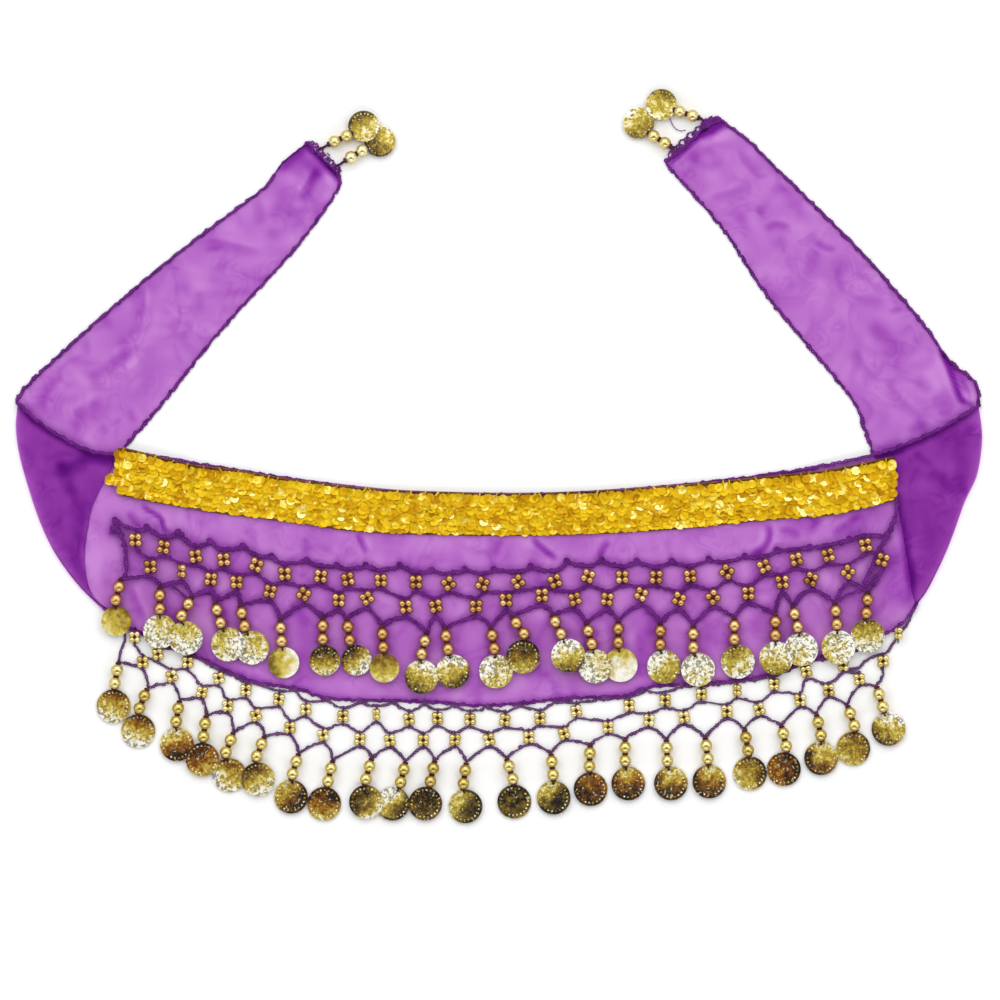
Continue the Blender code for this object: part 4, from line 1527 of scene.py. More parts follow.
    def beads(self) -> Piece:
        """Thread the four beads of each cross.

        Returns:
            The piece.
        """
        spots, axes = [], []
        rng = np.random.default_rng(len(self.name))
        for (middle_x, middle_y, height), angle, width in zip(*self.crosses()):
            rise = 0.0 if width == 1.0 else self.cross_pitch * self.edge_on_rise
            for right, back in ((0, 0), (1, 0), (0, 1), (1, 1)):
                x, y = (right - 0.5) * self.cross_pitch * width, (back - 0.5) * self.cross_pitch
                spots.append((middle_x + x * math.cos(angle) - y * math.sin(angle),
                              middle_y + x * math.sin(angle) + y * math.cos(angle),
                              height + right * rise))
                spin = angle + math.pi / 4 + rng.normal(0.0, self.bead_spin)
                axes.append(((math.cos(spin), math.sin(spin), 0.0), (0.0, 0.0, -1.0),
                             (-math.sin(spin), math.cos(spin), 0.0)))
        spots = np.array(spots)
        spots[:, :2] += rng.normal(0.0, self.uneven, (len(spots), 2))
        shape = self.cross_bead.copied(np.array(axes), spots)
        beads = make_piece(f"bead_crosses_{self.name}", shape, [self.gold])
        tones = np.clip(rng.normal(self.bead_tone, self.tone_spread, len(spots)), 0.0, 1.0)
        paint(beads, "tone", np.repeat(tones, len(self.cross_bead.vertices)))
        return beads

    def build(self) -> list[Piece]:
        """Build the net's yarn and its bead crosses."""
        return [self.work(), self.beads()]


# ---- Dangles: beads and coins ----

class Face(Enum):
    """Which side of a coin lies up."""

    STAMPED = "stamped"
    PLAIN = "plain"


@dataclass
class CoinPattern:
    """A stamped coin with a beaded rim and a rosette, modelled round its own z axis.

    The hole is towards the coin's +Y, where the thread comes in."""

    radius: float = COIN_RADIUS
    thick: float = 0.55
    rim_mm: float = 0.14
    rim_beads: int = 22
    petals: int = 8
    petals_at: float = 3.3
    leaves_at: float = 5.3
    motif_shine: float = 0.18
    hole_at: float = COIN_RADIUS - 1.7

    def blank(self) -> Shape:
        """Model the bare disc with a raised rim and its hole.

        Returns:
            The disc.
        """
        with shaping(bpy.ops.mesh.primitive_cylinder_add, vertices=36, radius=self.radius,
                     depth=self.thick) as disc:
            for side in (1.0, -1.0):
                select_where(disc, lambda co: co.z * side > self.thick * 0.4)
                bpy.ops.mesh.inset(thickness=0.5, depth=0.0)
                bpy.ops.mesh.inset(thickness=0.2, depth=-self.rim_mm)
                for ring in (0.7, 2.2, 2.4, 2.0):
                    bpy.ops.mesh.inset(thickness=ring, depth=0.0)
        with shaping(bpy.ops.mesh.primitive_cylinder_add, vertices=10, radius=0.7, depth=4.0,
                     location=(0.0, self.hole_at, 0.0)) as punch:
            pass
        cut = disc.modifiers.new("hole", "BOOLEAN")
        cut.object = punch
        cut.operation = "DIFFERENCE"
        apply_modifiers(disc)
        bpy.data.objects.remove(punch, do_unlink=True)
        return Shape.taken_from(disc)

    def boss(self, size: tuple[float, float, float], segments: int, rings: int) -> Shape:
        """Model one low oval boss, as a squashed sphere.

        Args:
            size: half its width, length and height.
            segments: its sides.
            rings: its rings of faces.

        Returns:
            The boss.
        """
        with shaping(bpy.ops.mesh.primitive_uv_sphere_add, segments=segments, ring_count=rings,
                     radius=1.0) as boss:
            bpy.ops.mesh.select_all(action="SELECT")
            bpy.ops.transform.resize(value=size)
        return Shape.taken_from(boss)

    def around(self, shape: Shape, distance: float, count: int, turn: float) -> list[Shape]:
        """Repeat a shape round the coin, each pointing outwards.

        Args:
            shape: the shape.
            distance: how far each is from the centre.
            count: how many there are.
            turn: where the first is.

        Returns:
            The copies.
        """
        level = Matrix.Translation((0.0, distance, self.thick / 2 - self.rim_mm))
        step = 2 * math.pi / count
        return [shape.turned(Matrix.Rotation(turn + step * index, 4, "Z") @ level)
                for index in range(count)]

    def build(self, face: Face) -> tuple[Shape, np.ndarray]:
        """Model the whole coin.

        Args:
            face: which side of it lies up.

        Returns:
            The coin, and how much brighter each of its points is kept.
        """
        blank = self.blank()
        if face is Face.PLAIN:
            return blank, np.zeros(len(blank.vertices))
        petal, leaf = self.boss((0.95, 1.9, 0.36), 8, 6), self.boss((0.45, 1.0, 0.30), 6, 5)
        rim = self.around(self.boss((0.66, 0.66, 0.46), 6, 4), self.radius - 1.8, self.rim_beads, 0.13)
        motif = [*self.around(petal, self.petals_at, self.petals, 0.2),
                 *self.around(leaf, self.leaves_at, self.petals, 0.2 + math.pi / self.petals),
                 *self.around(self.boss((1.25, 1.25, 0.5), 10, 6), 0.0, 1, 0.0)]
        shine = np.random.default_rng(5).uniform(0.25, 0.85, self.rim_beads)
        kept = [np.zeros(len(blank.vertices)), np.repeat(shine, len(rim[0].vertices)),
                np.full(sum(len(boss.vertices) for boss in motif), self.motif_shine)]
        return Shape.joined([blank, *rim, *motif]), np.concatenate(kept)


COIN_LEAN_DEGREES = 3.5


def clock_direction(hour: float) -> float:
    """Return the direction of a clock hour, in radians from +X."""
    return math.radians(90.0 - 30.0 * hour)


class CoinLook(NamedTuple):
    """How one coin looks: its tone from 0, black, to 1, pale, partly its own colour and partly painted
    reflection; the clock hours towards which it is paler, a painted glare, and darker, a painted dark
    reflection, and by how much; how red its brown is; its size; and which face is up."""

    tone: float
    pale_hour: float
    pale: float
    dark_hour: float
    dark: float
    warmth: float
    size: float = 1.0
    face: Face = Face.STAMPED

    def lean(self) -> tuple[float, float]:
        """Return how far the coin leans to +X and to +Y in degrees: towards its pale side and the light."""
        angle = clock_direction(self.pale_hour)
        lean = COIN_LEAN_DEGREES * self.pale
        return lean * math.cos(angle), COIN_LEAN_DEGREES + lean * math.sin(angle)

    def tones(self, spots: Points) -> np.ndarray:
        """Paint the coin's face with glare towards its pale side and a dark reflection towards its dark side,
        and a darker rim on darker coins.

        Args:
            spots: plan points counted from its centre, in coin radii.

        Returns:
            The tone at each point.
        """
        angles = np.arctan2(spots[:, 1], spots[:, 0])
        out = smooth_step(np.linalg.norm(spots, axis=1) / 0.5)
        tones = np.full(len(spots), float(self.tone))
        for hour, change in ((self.pale_hour, self.pale), (self.dark_hour, -self.dark)):
            towards = np.cos(angles - clock_direction(hour))
            tones += change * smooth_step((towards + 0.1) / 0.7) * (0.4 + 0.6 * out)
        rim = smooth_step((np.linalg.norm(spots, axis=1) - 0.66) / 0.2)
        return tones - 0.28 * (1.0 - self.tone) ** 2 * rim


@dataclass
class Dangles:
    """A row of dangles: for each, a coin, and two beads on their thread."""

    prefix: str
    hangs: Sequence[Hang]
    looks: Sequence[CoinLook]
    coins: dict[Face, tuple[Shape, np.ndarray]]
    bead: Shape
    knot: Shape
    metal: Material
    cord: Material
    gold: Material
    lead: float = 4.4
    reach: float = 13.3
    bead_tone: float = 0.62
    bead_tone_swing: float = 0.16
    bead_pitch: float = 7.3
    bead_clearance: float = 0.7
    coin_slack: float = 0.5
    coin_clearance: float = 0.1
    dish_degrees: float = 4.0
    plain_relief: float = 0.12
    thread_radius: float = 0.45
    knot_size: tuple[float, float, float] = (1.7, 1.5, 0.9)

    def build(self) -> list[Piece]:
        """Build every dangle of the row.

        Returns:
            Their pieces.
        """
        pieces = []
        for number, (hang, look) in enumerate(zip(self.hangs, self.looks), 1):
            pieces += self.dangle(f"{self.prefix}_{number:02d}", hang, look)
        return pieces

    def spots(self, hang: Hang) -> list[np.ndarray]:
        """Work out where the parts of a dangle lie.

        Args:
            hang: where and how it hangs.

        Returns:
            Where it hangs, and the middles of its first bead, its second bead and its coin, in plan.
        """
        down = lean_direction(hang.bead_lean)
        start = np.array((hang.x, hang.y))
        first = start + down * self.lead
        second = first + down * self.bead_pitch
        return [start, first, second, second + lean_direction(hang.coin_lean) * self.reach]

    def heights(self, node: str, coin: np.ndarray) -> tuple[float, float]:
        """Measure a packed dangle.

        Args:
            node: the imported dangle's name.
            coin: its coin's middle in plan.

        Returns:
            The height of the middle of its beads, and that of its coin, in millimetres.
        """
        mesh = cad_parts[node].data
        points = np.array([vertex.co for vertex in mesh.vertices]) / MM
        near = np.linalg.norm(points[:, :2] - CENTRE_SHIFT - coin, axis=1) < COIN_RADIUS + 0.1
        disc = points[near, 2]
        return points[:, 2].max() - BEAD_RADIUS, (disc.max() + disc.min()) / 2

    def dangle(self, name: str, hang: Hang, look: CoinLook) -> list[Piece]:
        """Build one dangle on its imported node's place.

        Args:
            name: the dangle's name, without its first word.
            hang: where and how it hangs.
            look: how its coin shines.

        Returns:
            The coin, and the beads with their thread.
        """
        bead_height, coin_height = self.heights(f"dangle_{name}", self.spots(hang)[-1])
        coin, hole = self.coin(name, hang, look, coin_height)
        return [coin, self.bead_string(name, hang, bead_height, hole)]

    def coin(self, name: str, hang: Hang, look: CoinLook, height: float) -> tuple[Piece, np.ndarray]:
        """Lay one coin, dished and leaning a little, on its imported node's place.

        Args:
            name: the dangle's name.
            hang: where and how it hangs.
            look: how the coin shines.
            height: the height of its middle.

        Returns:
            The piece, and where its hole is.
        """
        swing = lean_direction(hang.coin_lean)
        middle = self.spots(hang)[-1] - swing * (COIN_RADIUS * (1.0 - look.size) + self.coin_slack)
        shape, kept = self.coins[look.face]
        dished = shape.vertices * look.size
        out = (dished[:, 0] ** 2 + dished[:, 1] ** 2) / COIN_RADIUS ** 2
        dished[:, 2] += math.tan(math.radians(self.dish_degrees)) * COIN_RADIUS / 2 * (out - 0.5)
        lean_x, lean_y = look.lean()
        turn = np.array(Matrix.Rotation(math.radians(lean_x), 3, "Y")
                        @ Matrix.Rotation(math.radians(-lean_y), 3, "X"))
        axes = np.stack([turn @ (-swing[1], swing[0], 0.0), turn @ (*-swing, 0.0), turn @ UP])
        lift = COIN_RADIUS * math.sin(math.radians(max(abs(lean_x), abs(lean_y)))) * 0.8
        place = np.array((*middle, height + lift))
        place[2] += max(0.0, self.coin_clearance - (dished @ axes + place)[:, 2].min())
        laid = Shape(dished, shape.faces).copied(axes[None], place[None])
        coin = make_piece(f"coin_{name}", laid, [self.metal], (f"dangle_{name}",),
                          smooth_degrees=50.0)
        # The tones hold painted glare and painted dark reflection over the coin's own colour.
        tones = np.clip(look.tones((laid.vertices[:, :2] - middle) / COIN_RADIUS), 0.02, 1.0)
        paint(coin, "tone", tones + kept * (1.1 - tones))
        paint(coin, "warmth", look.warmth)
        paint(coin, "relief", 1.0 if look.face is Face.STAMPED else self.plain_relief)
        return coin, place + axes[1] * CoinPattern.hole_at * look.size

    def bead_string(self, name: str, hang: Hang, height: float, hole: np.ndarray) -> Piece:
        """Build a dangle's two beads and the thread that runs through them to the coin.

        Args:
            name: the dangle's name.
            hang: where and how it hangs.
            height: the height of its beads.
            hole: where the coin's hole is.

        Returns:
            The piece.
        """
        start, first, second, _ = self.spots(hang)
        down = lean_direction(hang.bead_lean)
        height = max(height, BEAD_RADIUS + self.bead_clearance)
        along = np.array((*down, 0.0))
        axes = np.stack([(-down[1], down[0], 0.0), UP, along])
        spots = np.array([(*first, height), (*second, height - 0.2)])
        beads = self.bead.copied(np.array([axes, axes]), spots)
        end = spots[1] + along * BEAD_RADIUS
        route = np.array([(*(start - down * 0.8), height - 1.8), (*(start + down), height - 0.6), *spots,
                          end, (end + hole) / 2 + UP * 0.5, hole + UP * 0.45, hole - UP * 0.1])
        route[:, 2] = np.maximum(route[:, 2], 0.5)
        thread = sweep(smooth_line(route, 5), self.thread_radius)
        knot_places = [spots.mean(0), end, spots[0] - along * (BEAD_RADIUS + 0.5)]
        knot_axes = axes * np.array(self.knot_size)[:, None]
        knots = self.knot.copied(np.array([knot_axes] * 3), np.array(knot_places))
        which = np.repeat([0, 1], [len(beads.faces), len(thread.faces) + len(knots.faces)])
        shape = Shape.joined([beads, thread, knots])
        piece = make_piece(f"beads_{name}", shape, [self.gold, self.cord],
                           finish_of_face=which)
        paint(piece, "tone", self.bead_tone + self.bead_tone_swing * math.sin(37.0 * start[0]))
        return piece


# ---- Sequin band ----

BAND_TOP = ((118, 451), (125, 451), (135, 453), (190, 466.5), (237, 472.5), (290, 481.5), (379, 491.5),
            (490, 495.5), (579, 494), (690, 486.5), (779, 477.5), (830, 472), (894, 459))
LOOSE_CORNER = ((126, 477), (107, 480.5))
BAND_BOTTOM = ((119, 493), (125, 495), (166, 503), (218, 512), (290, 521), (366, 531), (490, 534.5),
               (592, 533), (690, 527), (767, 519), (830, 514), (893, 500))


def cupped_sequin() -> Shape:
    """Model one sequin of radius 1: a thin cupped disc with a hole at its middle.

    Returns:
        The sequin.
    """
    with shaping(bpy.ops.mesh.primitive_circle_add, vertices=9, radius=1.0, fill_type="NGON") as sequin:
        bpy.ops.mesh.select_all(action="SELECT")
        bpy.ops.mesh.inset(thickness=0.88, depth=0.0)
        bpy.ops.transform.translate(value=(0.0, 0.0, -0.07))
        bpy.ops.mesh.delete(type="ONLY_FACE")
    give_wall(sequin, 0.04)
    return Shape.taken_from(sequin)


@dataclass
class SequinBand:
    """The band of sequins on the panel's top hem, sewn in rows on a strip of net tape."""

    strip: ChiffonStrip
    finishes: Finishes
    sequin_radius: float = 2.5
    pitch: float = 2.5
    rows: int = 9
    first_row: float = 0.09
    rows_span: float = 0.82
    loose: int = 34
    loose_spread: float = 2.6
    uneven: float = 0.35
    uneven_pitch: float = 0.18
    lean_degrees: float = -8.0
    lean_spread: float = 5.0
    roll_spread: float = 6.0
    sequin_rise: float = 0.75
    pile: float = 0.7
    tone: float = 0.45
    tone_spread: float = 0.19
    glint_share: float = 0.035
    tape_steps: int = 160
    tape_from: float = -0.045
    tape_to: float = 1.03
    tape_rise: float = 0.3
    tape_mm: float = 0.25
    selvage_radius: float = 0.5
    selvage_over: float = 1.1
    stitch_gap: float = 8.5
    stitch_slant: float = 2.2
    seed: int = 31

    def lines(self) -> tuple[Points, Points]:
        """Return the band's top and bottom edges in plan."""
        return smooth_line(from_grid(BAND_TOP)), smooth_line(from_grid(BAND_BOTTOM))

    def tape(self) -> list[Piece]:
        """Build the net tape that the sequins are sewn to, stretched on the panel.

        Returns:
            The tape, and its selvage.
        """
        top, bottom = (evenly(line, self.tape_steps) for line in self.lines())
        part = np.linspace(self.tape_from, self.tape_to, self.rows)[:, None, None]
        grid = top * (1 - part) + bottom * part
        points = grid.reshape(-1, 2)
        table = np.arange(len(points)).reshape(grid.shape[:2])
        shape = Shape(self.strip.over(points, self.tape_rise), quads(table.T))
        tape = make_piece("sequin_tape", shape, [self.finishes.tape],
                          smooth_degrees=180.0)
        give_wall(tape, self.tape_mm * MM)
        cord = sweep(self.strip.over(top + (0.0, self.selvage_over), 1.0), self.selvage_radius, 5)
        return [tape, make_piece("tape_selvage", cord, [self.finishes.tape])]

    def build(self) -> list[Piece]:
        """Build the tape, the sequins and the stitches that hold the band to the hem.

        Returns:
            The tape, then what goes with it.
        """
        tape, selvage = self.tape()
        rng = np.random.default_rng(self.seed)
        top, bottom = self.lines()
        count = int(travelled(top)[-1] / self.pitch)
        rows = []
        for row in range(self.rows):
            share = self.first_row + self.rows_span * row / (self.rows - 1)
            parts = (np.arange(count) + 0.5 * (row % 2) + 0.25) / count
            parts = np.clip(parts + rng.normal(0.0, self.uneven_pitch, count) / count, 0.0, 1.0)
            rows.append(at_parts(top, parts) * (1 - share) + at_parts(bottom, parts) * share)
        rows.append(self.loose_corner(rng))
        spots = np.vstack(rows)
        spots += rng.normal(0.0, self.uneven, spots.shape)
        places = self.strip.over(spots, self.sequin_rise)
        places[:, 2] += rng.uniform(0.0, self.pile, len(spots))
        axes = np.array([self.lie(rng) for _ in spots])
        shape = cupped_sequin()
        band = make_piece("sequins", shape.copied(axes, places),
                          [self.finishes.sequins], ("sequin_band",), smooth_degrees=40.0)
        tones = np.clip(rng.normal(self.tone, self.tone_spread, len(spots)), 0.05, 0.8)
        tones[rng.random(len(tones)) < self.glint_share] = 1.0
        paint(band, "tone", np.repeat(tones, len(shape.vertices)))
        return [tape, band, self.stitches(top, rng), selvage]

    def loose_corner(self, rng: np.random.Generator) -> Points:
        """Return where the sequins lie that hang loose from the band's left end."""
        root, tip = from_grid(LOOSE_CORNER)
        part = rng.uniform(0.0, 1.0, self.loose)[:, None]
        spread = rng.uniform(-self.loose_spread, self.loose_spread, (self.loose, 2))
        return root * (1 - part) + tip * part + spread * (1 - 0.7 * part)

    def stitches(self, top: Points, rng: np.random.Generator) -> Piece:
        """Build the thread stitches over the hem, from the band's top edge.

        Args:
            top: the band's top edge.
            rng: the band's random draws.

        Returns:
            The piece.
        """
        count = int(travelled(top)[-1] / self.stitch_gap)
        parts = (np.arange(count) + rng.uniform(0.0, 1.0, count)) / count
        feet = at_parts(top, parts)
        away = leftward(evenly(top, 400))[(parts * 400).astype(int)]
        shapes = []
        for foot, out in zip(feet, away):
            slant = np.array((out[1], -out[0])) * rng.uniform(-self.stitch_slant, self.stitch_slant)
            plan = np.array([foot - out * 0.8, foot + out * 0.4 + slant / 2, foot + out * 1.5 + slant])
            height = self.strip.panel_height(foot[None])[0]
            route = on_height(plan, height + np.array((1.3, 1.9, 0.7)))
            shapes.append(sweep(smooth_line(route, 3), rng.uniform(0.35, 0.6), 5))
        piece = make_piece("band_stitches", Shape.joined(shapes), [self.finishes.sequins])
        paint(piece, "tone", np.repeat(rng.uniform(0.1, 0.8, count), len(shapes[0].vertices)))
        return piece

    def lie(self, rng: np.random.Generator) -> np.ndarray:
        """Return the axes of one sequin that leans on its neighbours.

        Args:
            rng: the band's random draws.

        Returns:
            The axes, one a row.
        """
        lean = Matrix.Rotation(math.radians(rng.normal(self.lean_degrees, self.lean_spread)), 3, "X")
        roll = Matrix.Rotation(math.radians(rng.normal(0.0, self.roll_spread)), 3, "Y")
        spin = Matrix.Rotation(rng.uniform(0.0, math.pi), 3, "Z")
        return np.array(roll @ lean @ spin).T * self.sequin_radius


# ---- Studio ----

@dataclass
class Studio:
    """The camera straight above the scarf, the pale floor and soft light."""

    camera_height: float = 3.3
    picture_squares: float = 1000.0
    middle_square: tuple[float, float] = (500.0, 500.0)
    floor_size: float = 24.0
    floor_gap: float = 0.00005
    floor_colour: Colour = (0.97, 0.97, 0.97)
    surroundings: tuple[Colour, Colour] = ((0.47, 0.47, 0.48), (0.03, 0.03, 0.03))

    def camera(self) -> None:
        """Put the camera over the middle of the picture."""
        data = bpy.data.cameras.new("camera")
        data.sensor_width = 36.0
        width = self.picture_squares * SQUARE * MM
        data.lens = data.sensor_width * self.camera_height / width
        data.clip_end = 50.0
        camera = bpy.data.objects.new("camera", data)
        x, y = (from_grid([self.middle_square])[0] + CENTRE_SHIFT) * MM
        camera.location = (x, y, self.camera_height)
        bpy.context.scene.collection.objects.link(camera)
        bpy.context.scene.camera = camera

    def floor(self) -> None:
        """Lay the pale floor."""
        with shaping(bpy.ops.mesh.primitive_plane_add, size=self.floor_size,
                     location=(0.0, 0.0, -self.floor_gap)) as floor:
            floor.name = "floor"
        desk = NodeDesk("pale_floor")
        shade = desk.spread(desk.noise(3.0, 2.0), 0.3, 0.7, 0.0, 1.0)
        colour = desk.blend(shade, rgba(self.floor_colour), rgba(tuple(0.99 * c for c in self.floor_colour)))
        inputs = {"Base Color": colour, "Roughness": 0.9, "Specular IOR Level": 0.1}
        floor.data.materials.append(desk.finish(desk.add("BsdfPrincipled", inputs)))

    def softbox(self, name: str, place: tuple[float, float, float], size: tuple[float, float],
                power: float) -> None:
        """Hang one soft box that faces the scarf.

        Args:
            name: its name.
            place: where it hangs, in metres.
            size: its width and height, in metres.
            power: its power, in watts.
        """
        data = bpy.data.lights.new(name, "AREA")
        data.shape = "RECTANGLE"
        data.size, data.size_y = size
        data.energy = power
        light = bpy.data.objects.new(name, data)
        light.location = place
        light.rotation_euler = (-Vector(place)).to_track_quat("-Z", "Y").to_euler()
        light.visible_camera = False
        bpy.context.scene.collection.objects.link(light)

    def world(self) -> None:
        """Make the surroundings: pale low down, dim overhead."""
        world = bpy.data.worlds.new("studio")
        world.use_nodes = True
        tree = world.node_tree
        coordinates, split, ramp = (tree.nodes.new("ShaderNode" + kind)
                                    for kind in ("TexCoord", "SeparateXYZ", "ValToRGB"))
        for stop, position, grey in zip(ramp.color_ramp.elements, (0.05, 0.75), self.surroundings):
            stop.position = position
            stop.color = rgba(grey)
        tree.links.new(coordinates.outputs["Generated"], split.inputs[0])
        tree.links.new(split.outputs["Z"], ramp.inputs[0])
        tree.links.new(ramp.outputs[0], tree.nodes["Background"].inputs["Color"])
        bpy.context.scene.world = world

    def build(self) -> None:
        """Set up the whole studio."""
        self.camera()
        self.floor()
        self.world()
        self.softbox("key_softbox", (0.0, 1.6, 2.2), (5.0, 2.8), 91.5)
        self.softbox("left_softbox", (-2.2, -0.2, 1.6), (1.4, 2.6), 15.9)
        self.softbox("right_softbox", (2.2, -0.2, 1.6), (1.4, 2.6), 15.9)
        self.softbox("front_softbox", (0.0, -2.2, 1.5), (3.4, 0.9), 25.2)
        settings = bpy.context.scene.view_settings
        settings.view_transform = "Standard"
        settings.look = "None"
        settings.exposure = 0.0


# ---- The whole scarf ----

UPPER_LOOKS = rows_of(
    CoinLook,
    (0.62, 8, 0.15, 1, 0.2, 0.3, 0.89, Face.PLAIN), (0.95, 8, 0.3, 1.5, 0.3, 0),
    (0.84, 5, 0.3, 12, 0.2, 0.1), (0.86, 3.5, 0.4, 11.5, 0.3, 0), (0.92, 8, 0.4, 12.5, 0.35, 0),
    (0.8, 3, 0.2, 9, 0.4, 0, 0.92, Face.PLAIN), (0.44, 5.5, 0.45, 12, 0.5, 0.2, 0.9),
    (0.58, 4.5, 0.45, 10.5, 0.6, 0.3, 0.9), (0.62, 6, 0.15, 12, 0.25, 0.3, 0.87, Face.PLAIN),
    (0.58, 12.5, 0.4, 7.5, 0.45, 0.1), (0.57, 12, 0.45, 4.5, 0.5, 0.2), (0.92, 10, 0.3, 5.5, 0.3, 0),
    (0.1, 6, 0.75, 12, 0.15, 0.3), (0.74, 11.5, 0.4, 5.5, 0.5, 0.1), (0.93, 8.5, 0.3, 2, 0.2, 0),
    (0.77, 5.5, 0.25, 12, 0.1, 0, 1, Face.PLAIN), (0.73, 9.5, 0.45, 5, 0.4, 0), (1, 10, 0.2, 6, 0.25, 0),
    (0.88, 4, 0.4, 12, 0.55, 0.1), (0.86, 2, 0.2, 6.5, 0.5, 0), (0.97, 2, 0.3, 7, 0.35, 0),
    (1, 2, 0.2, 8.5, 0.35, 0), (0.95, 5.5, 0.4, 12, 0.6, 0.1))
LOWER_LOOKS = rows_of(
    CoinLook,
    (0.64, 8, 0.4, 11.5, 0.5, 0.8), (0.62, 6, 0.5, 1, 0.4, 0.8), (0.43, 11, 0.4, 5, 0.45, 0.9),
    (0.38, 5, 0.35, 11, 0.35, 1), (0.66, 8, 0.4, 1, 0.35, 0.7), (0.6, 5.5, 0.35, 10, 0.45, 0.4),
    (0.14, 10, 0.65, 3, 0.35, 0.6), (0.38, 6, 0.35, 12, 0.4, 0.9), (0.44, 5, 0.55, 9.5, 0.6, 0.2),
    (0.34, 10.5, 0.85, 4.5, 0.6, 0.1), (0.12, 6, 0.3, 12, 0.15, 0.3), (0.04, 9.7, 0.9, 3.5, 0.4, 0),
    (0.08, 5, 0.45, 11, 0.2, 0.1), (0.07, 10.5, 0.8, 6, 0.3, 0), (0, 2, 0.5, 8, 0.3, 0.8),
    (0, 1, 0.75, 8, 0.4, 0.8), (0.05, 1, 0.8, 7.5, 0.4, 0.5), (0.04, 1.2, 0.8, 8.5, 0.5, 0.7),
    (0.5, 7, 0.35, 2.5, 0.4, 0.4), (0.25, 8, 0.2, 3, 0.3, 1), (0.38, 12.5, 0.45, 8, 0.45, 0.6),
    (0.52, 7, 0.2, 2, 0.25, 0.4), (0.5, 12, 0.75, 8, 0.6, 0.2))
LEFT_TIP_LOOKS = rows_of(
    CoinLook,
    (0.56, 3.5, 0.35, 11, 0.4, 0, 0.92), (0.42, 1.5, 0.35, 7, 0.35, 0.1, 0.92))
RIGHT_TIP_LOOKS = rows_of(
    CoinLook,
    (0.66, 9, 0.2, 12, 0.45, 0, 0.92), (0.66, 10.5, 0.2, 5, 0.4, 0.1, 0.92))

LEFT_SIDE_UPPER = ((119, 529), (124, 541), (126, 555), (127, 567), (124.5, 578), (121.5, 579))
RIGHT_SIDE_UPPER = ((896, 498), (896, 510), (893, 522), (889, 532), (884, 541), (877, 552), (872, 567),
                    (864, 582))
LEFT_SIDE_LOWER = ((124, 631), (125, 640), (121, 650), (119, 662))
RIGHT_SIDE_LOWER = ((915, 604), (909, 620), (895, 641), (885, 653), (871, 657), (857, 668), (843, 670))
UPPER_EXTRAS = (
    (((885, 563), (879, 573), (869, 581), (864, 589)), 2.6),
    (((862, 588), (851, 593), (842, 597), (835, 603)), 1.6),
    (((165, 584), (176, 588), (185, 597)), 1.7), (((200, 592), (213, 592)), 2.8))
UPPER_BLOBS = (
    (115, 522.5, 1.6), (113.5, 528, 2.1), (117.5, 531, 2.2), (112, 532, 1.5), (121.5, 536, 1.6),
    (178.5, 531.5, 1.9), (182, 534.5, 1.8), (243.5, 545.5, 1.7), (246.5, 548.5, 1.6), (147, 527, 1.3),
    (210.5, 541.5, 1.3), (272, 556.5, 1.2), (887, 534, 2.0), (890, 530, 1.9), (217, 596, 1.5),
    (207, 591, 1.6), (849, 539, 1.3), (810, 548, 1.2))


def hem_peaks(cells: Sequence[Cell]) -> Points:
    """Return where a net's first chain is caught into the panel's bottom hem, between its crosses.

    Args:
        cells: the net's cells.

    Returns:
        The places in plan, from left to right.
    """
    upper = from_grid([cell.upper for cell in cells])
    hem = smooth_line(BOTTOM_HEM)
    middles = (upper[:-1] + upper[1:]) / 2
    nearest = [hem[np.linalg.norm(hem - middle, axis=1).argmin()] for middle in middles]
    ends = from_grid(((124, 629), (909, 618)))
    return np.vstack([ends[0], nearest, ends[1]])


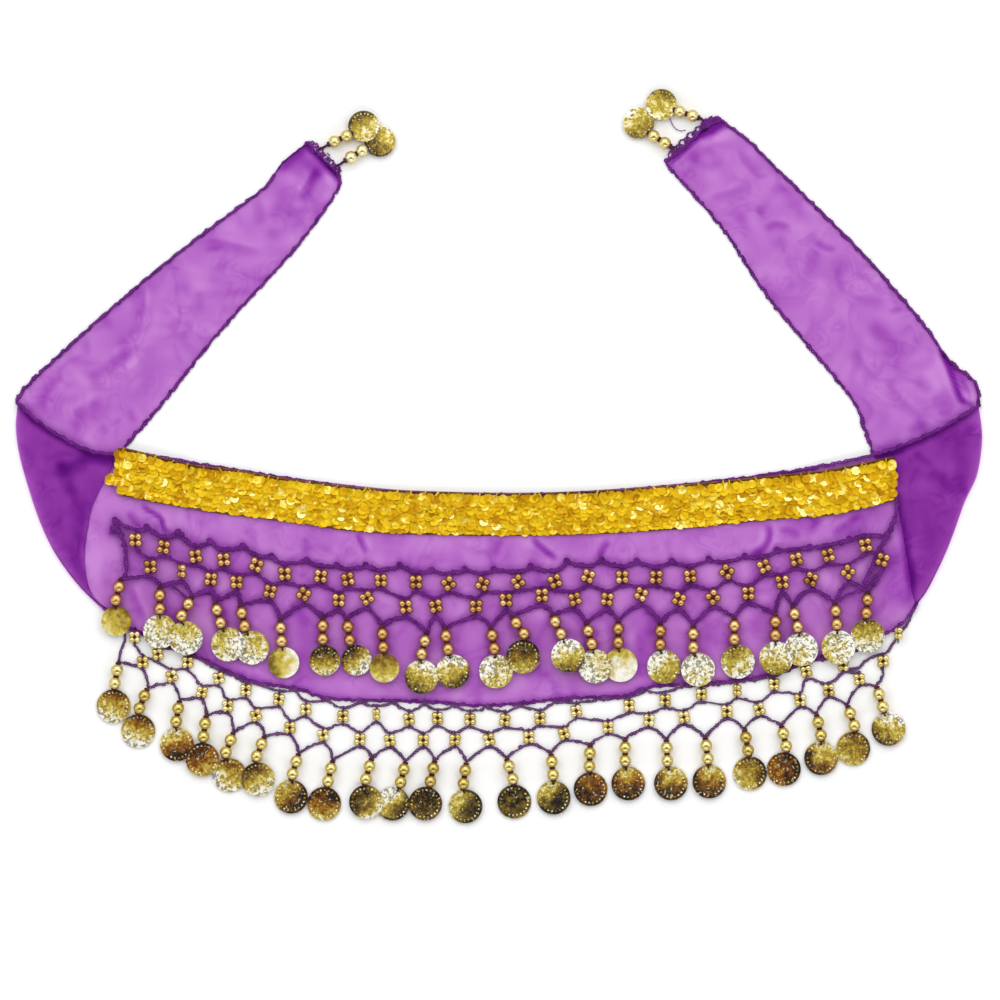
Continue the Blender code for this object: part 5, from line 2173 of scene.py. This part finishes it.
def build_nets(strip: ChiffonStrip, crochet: Crochet, finishes: Finishes) -> list[Piece]:
    """Build both nets: the upper on the panel's cloth, the lower on the ground.

    Args:
        strip: the cloth that they hang from.
        crochet: what works their chains.
        finishes: the scarf's materials.

    Returns:
        The yarn and the beads of each.
    """
    upper = BeadNet(
        "upper_net", UPPER_CELLS, UPPER_HANGS, from_grid(UPPER_PEAKS),
        (LEFT_SIDE_UPPER, RIGHT_SIDE_UPPER), lambda points: strip.panel_height(points) + 0.1, crochet,
        finishes.edging, finishes.beads, finishes.cord, round_bead(2.0, 9, 6), bead_tone=0.5,
        cross_radius=2.05, reaches=(5.5, 5.1, 4.3, 5.6), widths=(2.6, 2.0, 2.4), extras=UPPER_EXTRAS,
        blobs=UPPER_BLOBS)
    lower = BeadNet(
        "lower_net", LOWER_CELLS, LOWER_HANGS, hem_peaks(LOWER_CELLS),
        (LEFT_SIDE_LOWER, RIGHT_SIDE_LOWER), lambda points: np.zeros(len(points)), crochet,
        finishes.fringe, finishes.yellow_beads, finishes.cord, round_bead(1.75, 9, 6), bead_tone=0.75,
        cross_radius=1.75, reaches=(4.4, 4.4, 3.7, 3.8), widths=(1.6, 1.6, 1.8), open_end=True)
    return upper.build() + lower.build()


def build_dangles(finishes: Finishes) -> list[Piece]:
    """Build every dangle of the scarf.

    Args:
        finishes: the scarf's materials.

    Returns:
        Their pieces.
    """
    shared = ({face: CoinPattern().build(face) for face in Face}, round_bead(BEAD_RADIUS * 1.09, 14, 10),
              round_bead(1.0, 8, 6), finishes.coins, finishes.cord)
    rows = [Dangles("upper", UPPER_HANGS, UPPER_LOOKS, *shared, finishes.beads),
            Dangles("lower", LOWER_HANGS, LOWER_LOOKS, *shared, finishes.yellow_beads)]
    for prefix, hangs, looks, lead in (("tip_left", LEFT_TIP_HANGS, LEFT_TIP_LOOKS, LEFT_TIP_LEAD),
                                       ("tip_right", RIGHT_TIP_HANGS, RIGHT_TIP_LOOKS, RIGHT_TIP_LEAD)):
        rows.append(Dangles(prefix, hangs, looks, *shared, finishes.yellow_beads, lead, reach=12.1,
                            bead_tone=0.84))
    return [piece for row in rows for piece in row.build()]


def main() -> None:
    """Build the studio and the scarf, in order, and report each piece."""
    logging.basicConfig(level=logging.INFO, format="%(name)s %(message)s")
    Studio().build()
    finishes = Finishes()
    strip = ChiffonStrip(finishes.chiffon)
    crochet = Crochet()
    cloth = strip.build()
    edging = Edging(strip, crochet, finishes.edging).build()
    band = SequinBand(strip, finishes).build()
    nets = build_nets(strip, crochet, finishes)
    dangles = build_dangles(finishes)
    above = [dangle for dangle in dangles if "beads_upper" in dangle.name]
    # Painted contact shadow and gathered cloth beside the net, the panel's hem edging and the upper beads.
    paint_shade_near(cloth, [nets[0], *edging[:2], *above], 1.7, 0.24)
    for piece in [cloth, *edging, *band, *nets, *dangles]:
        LOG.info("%s: %d faces", piece.name, len(piece.data.polygons))


if __name__ == "__main__":
    main()
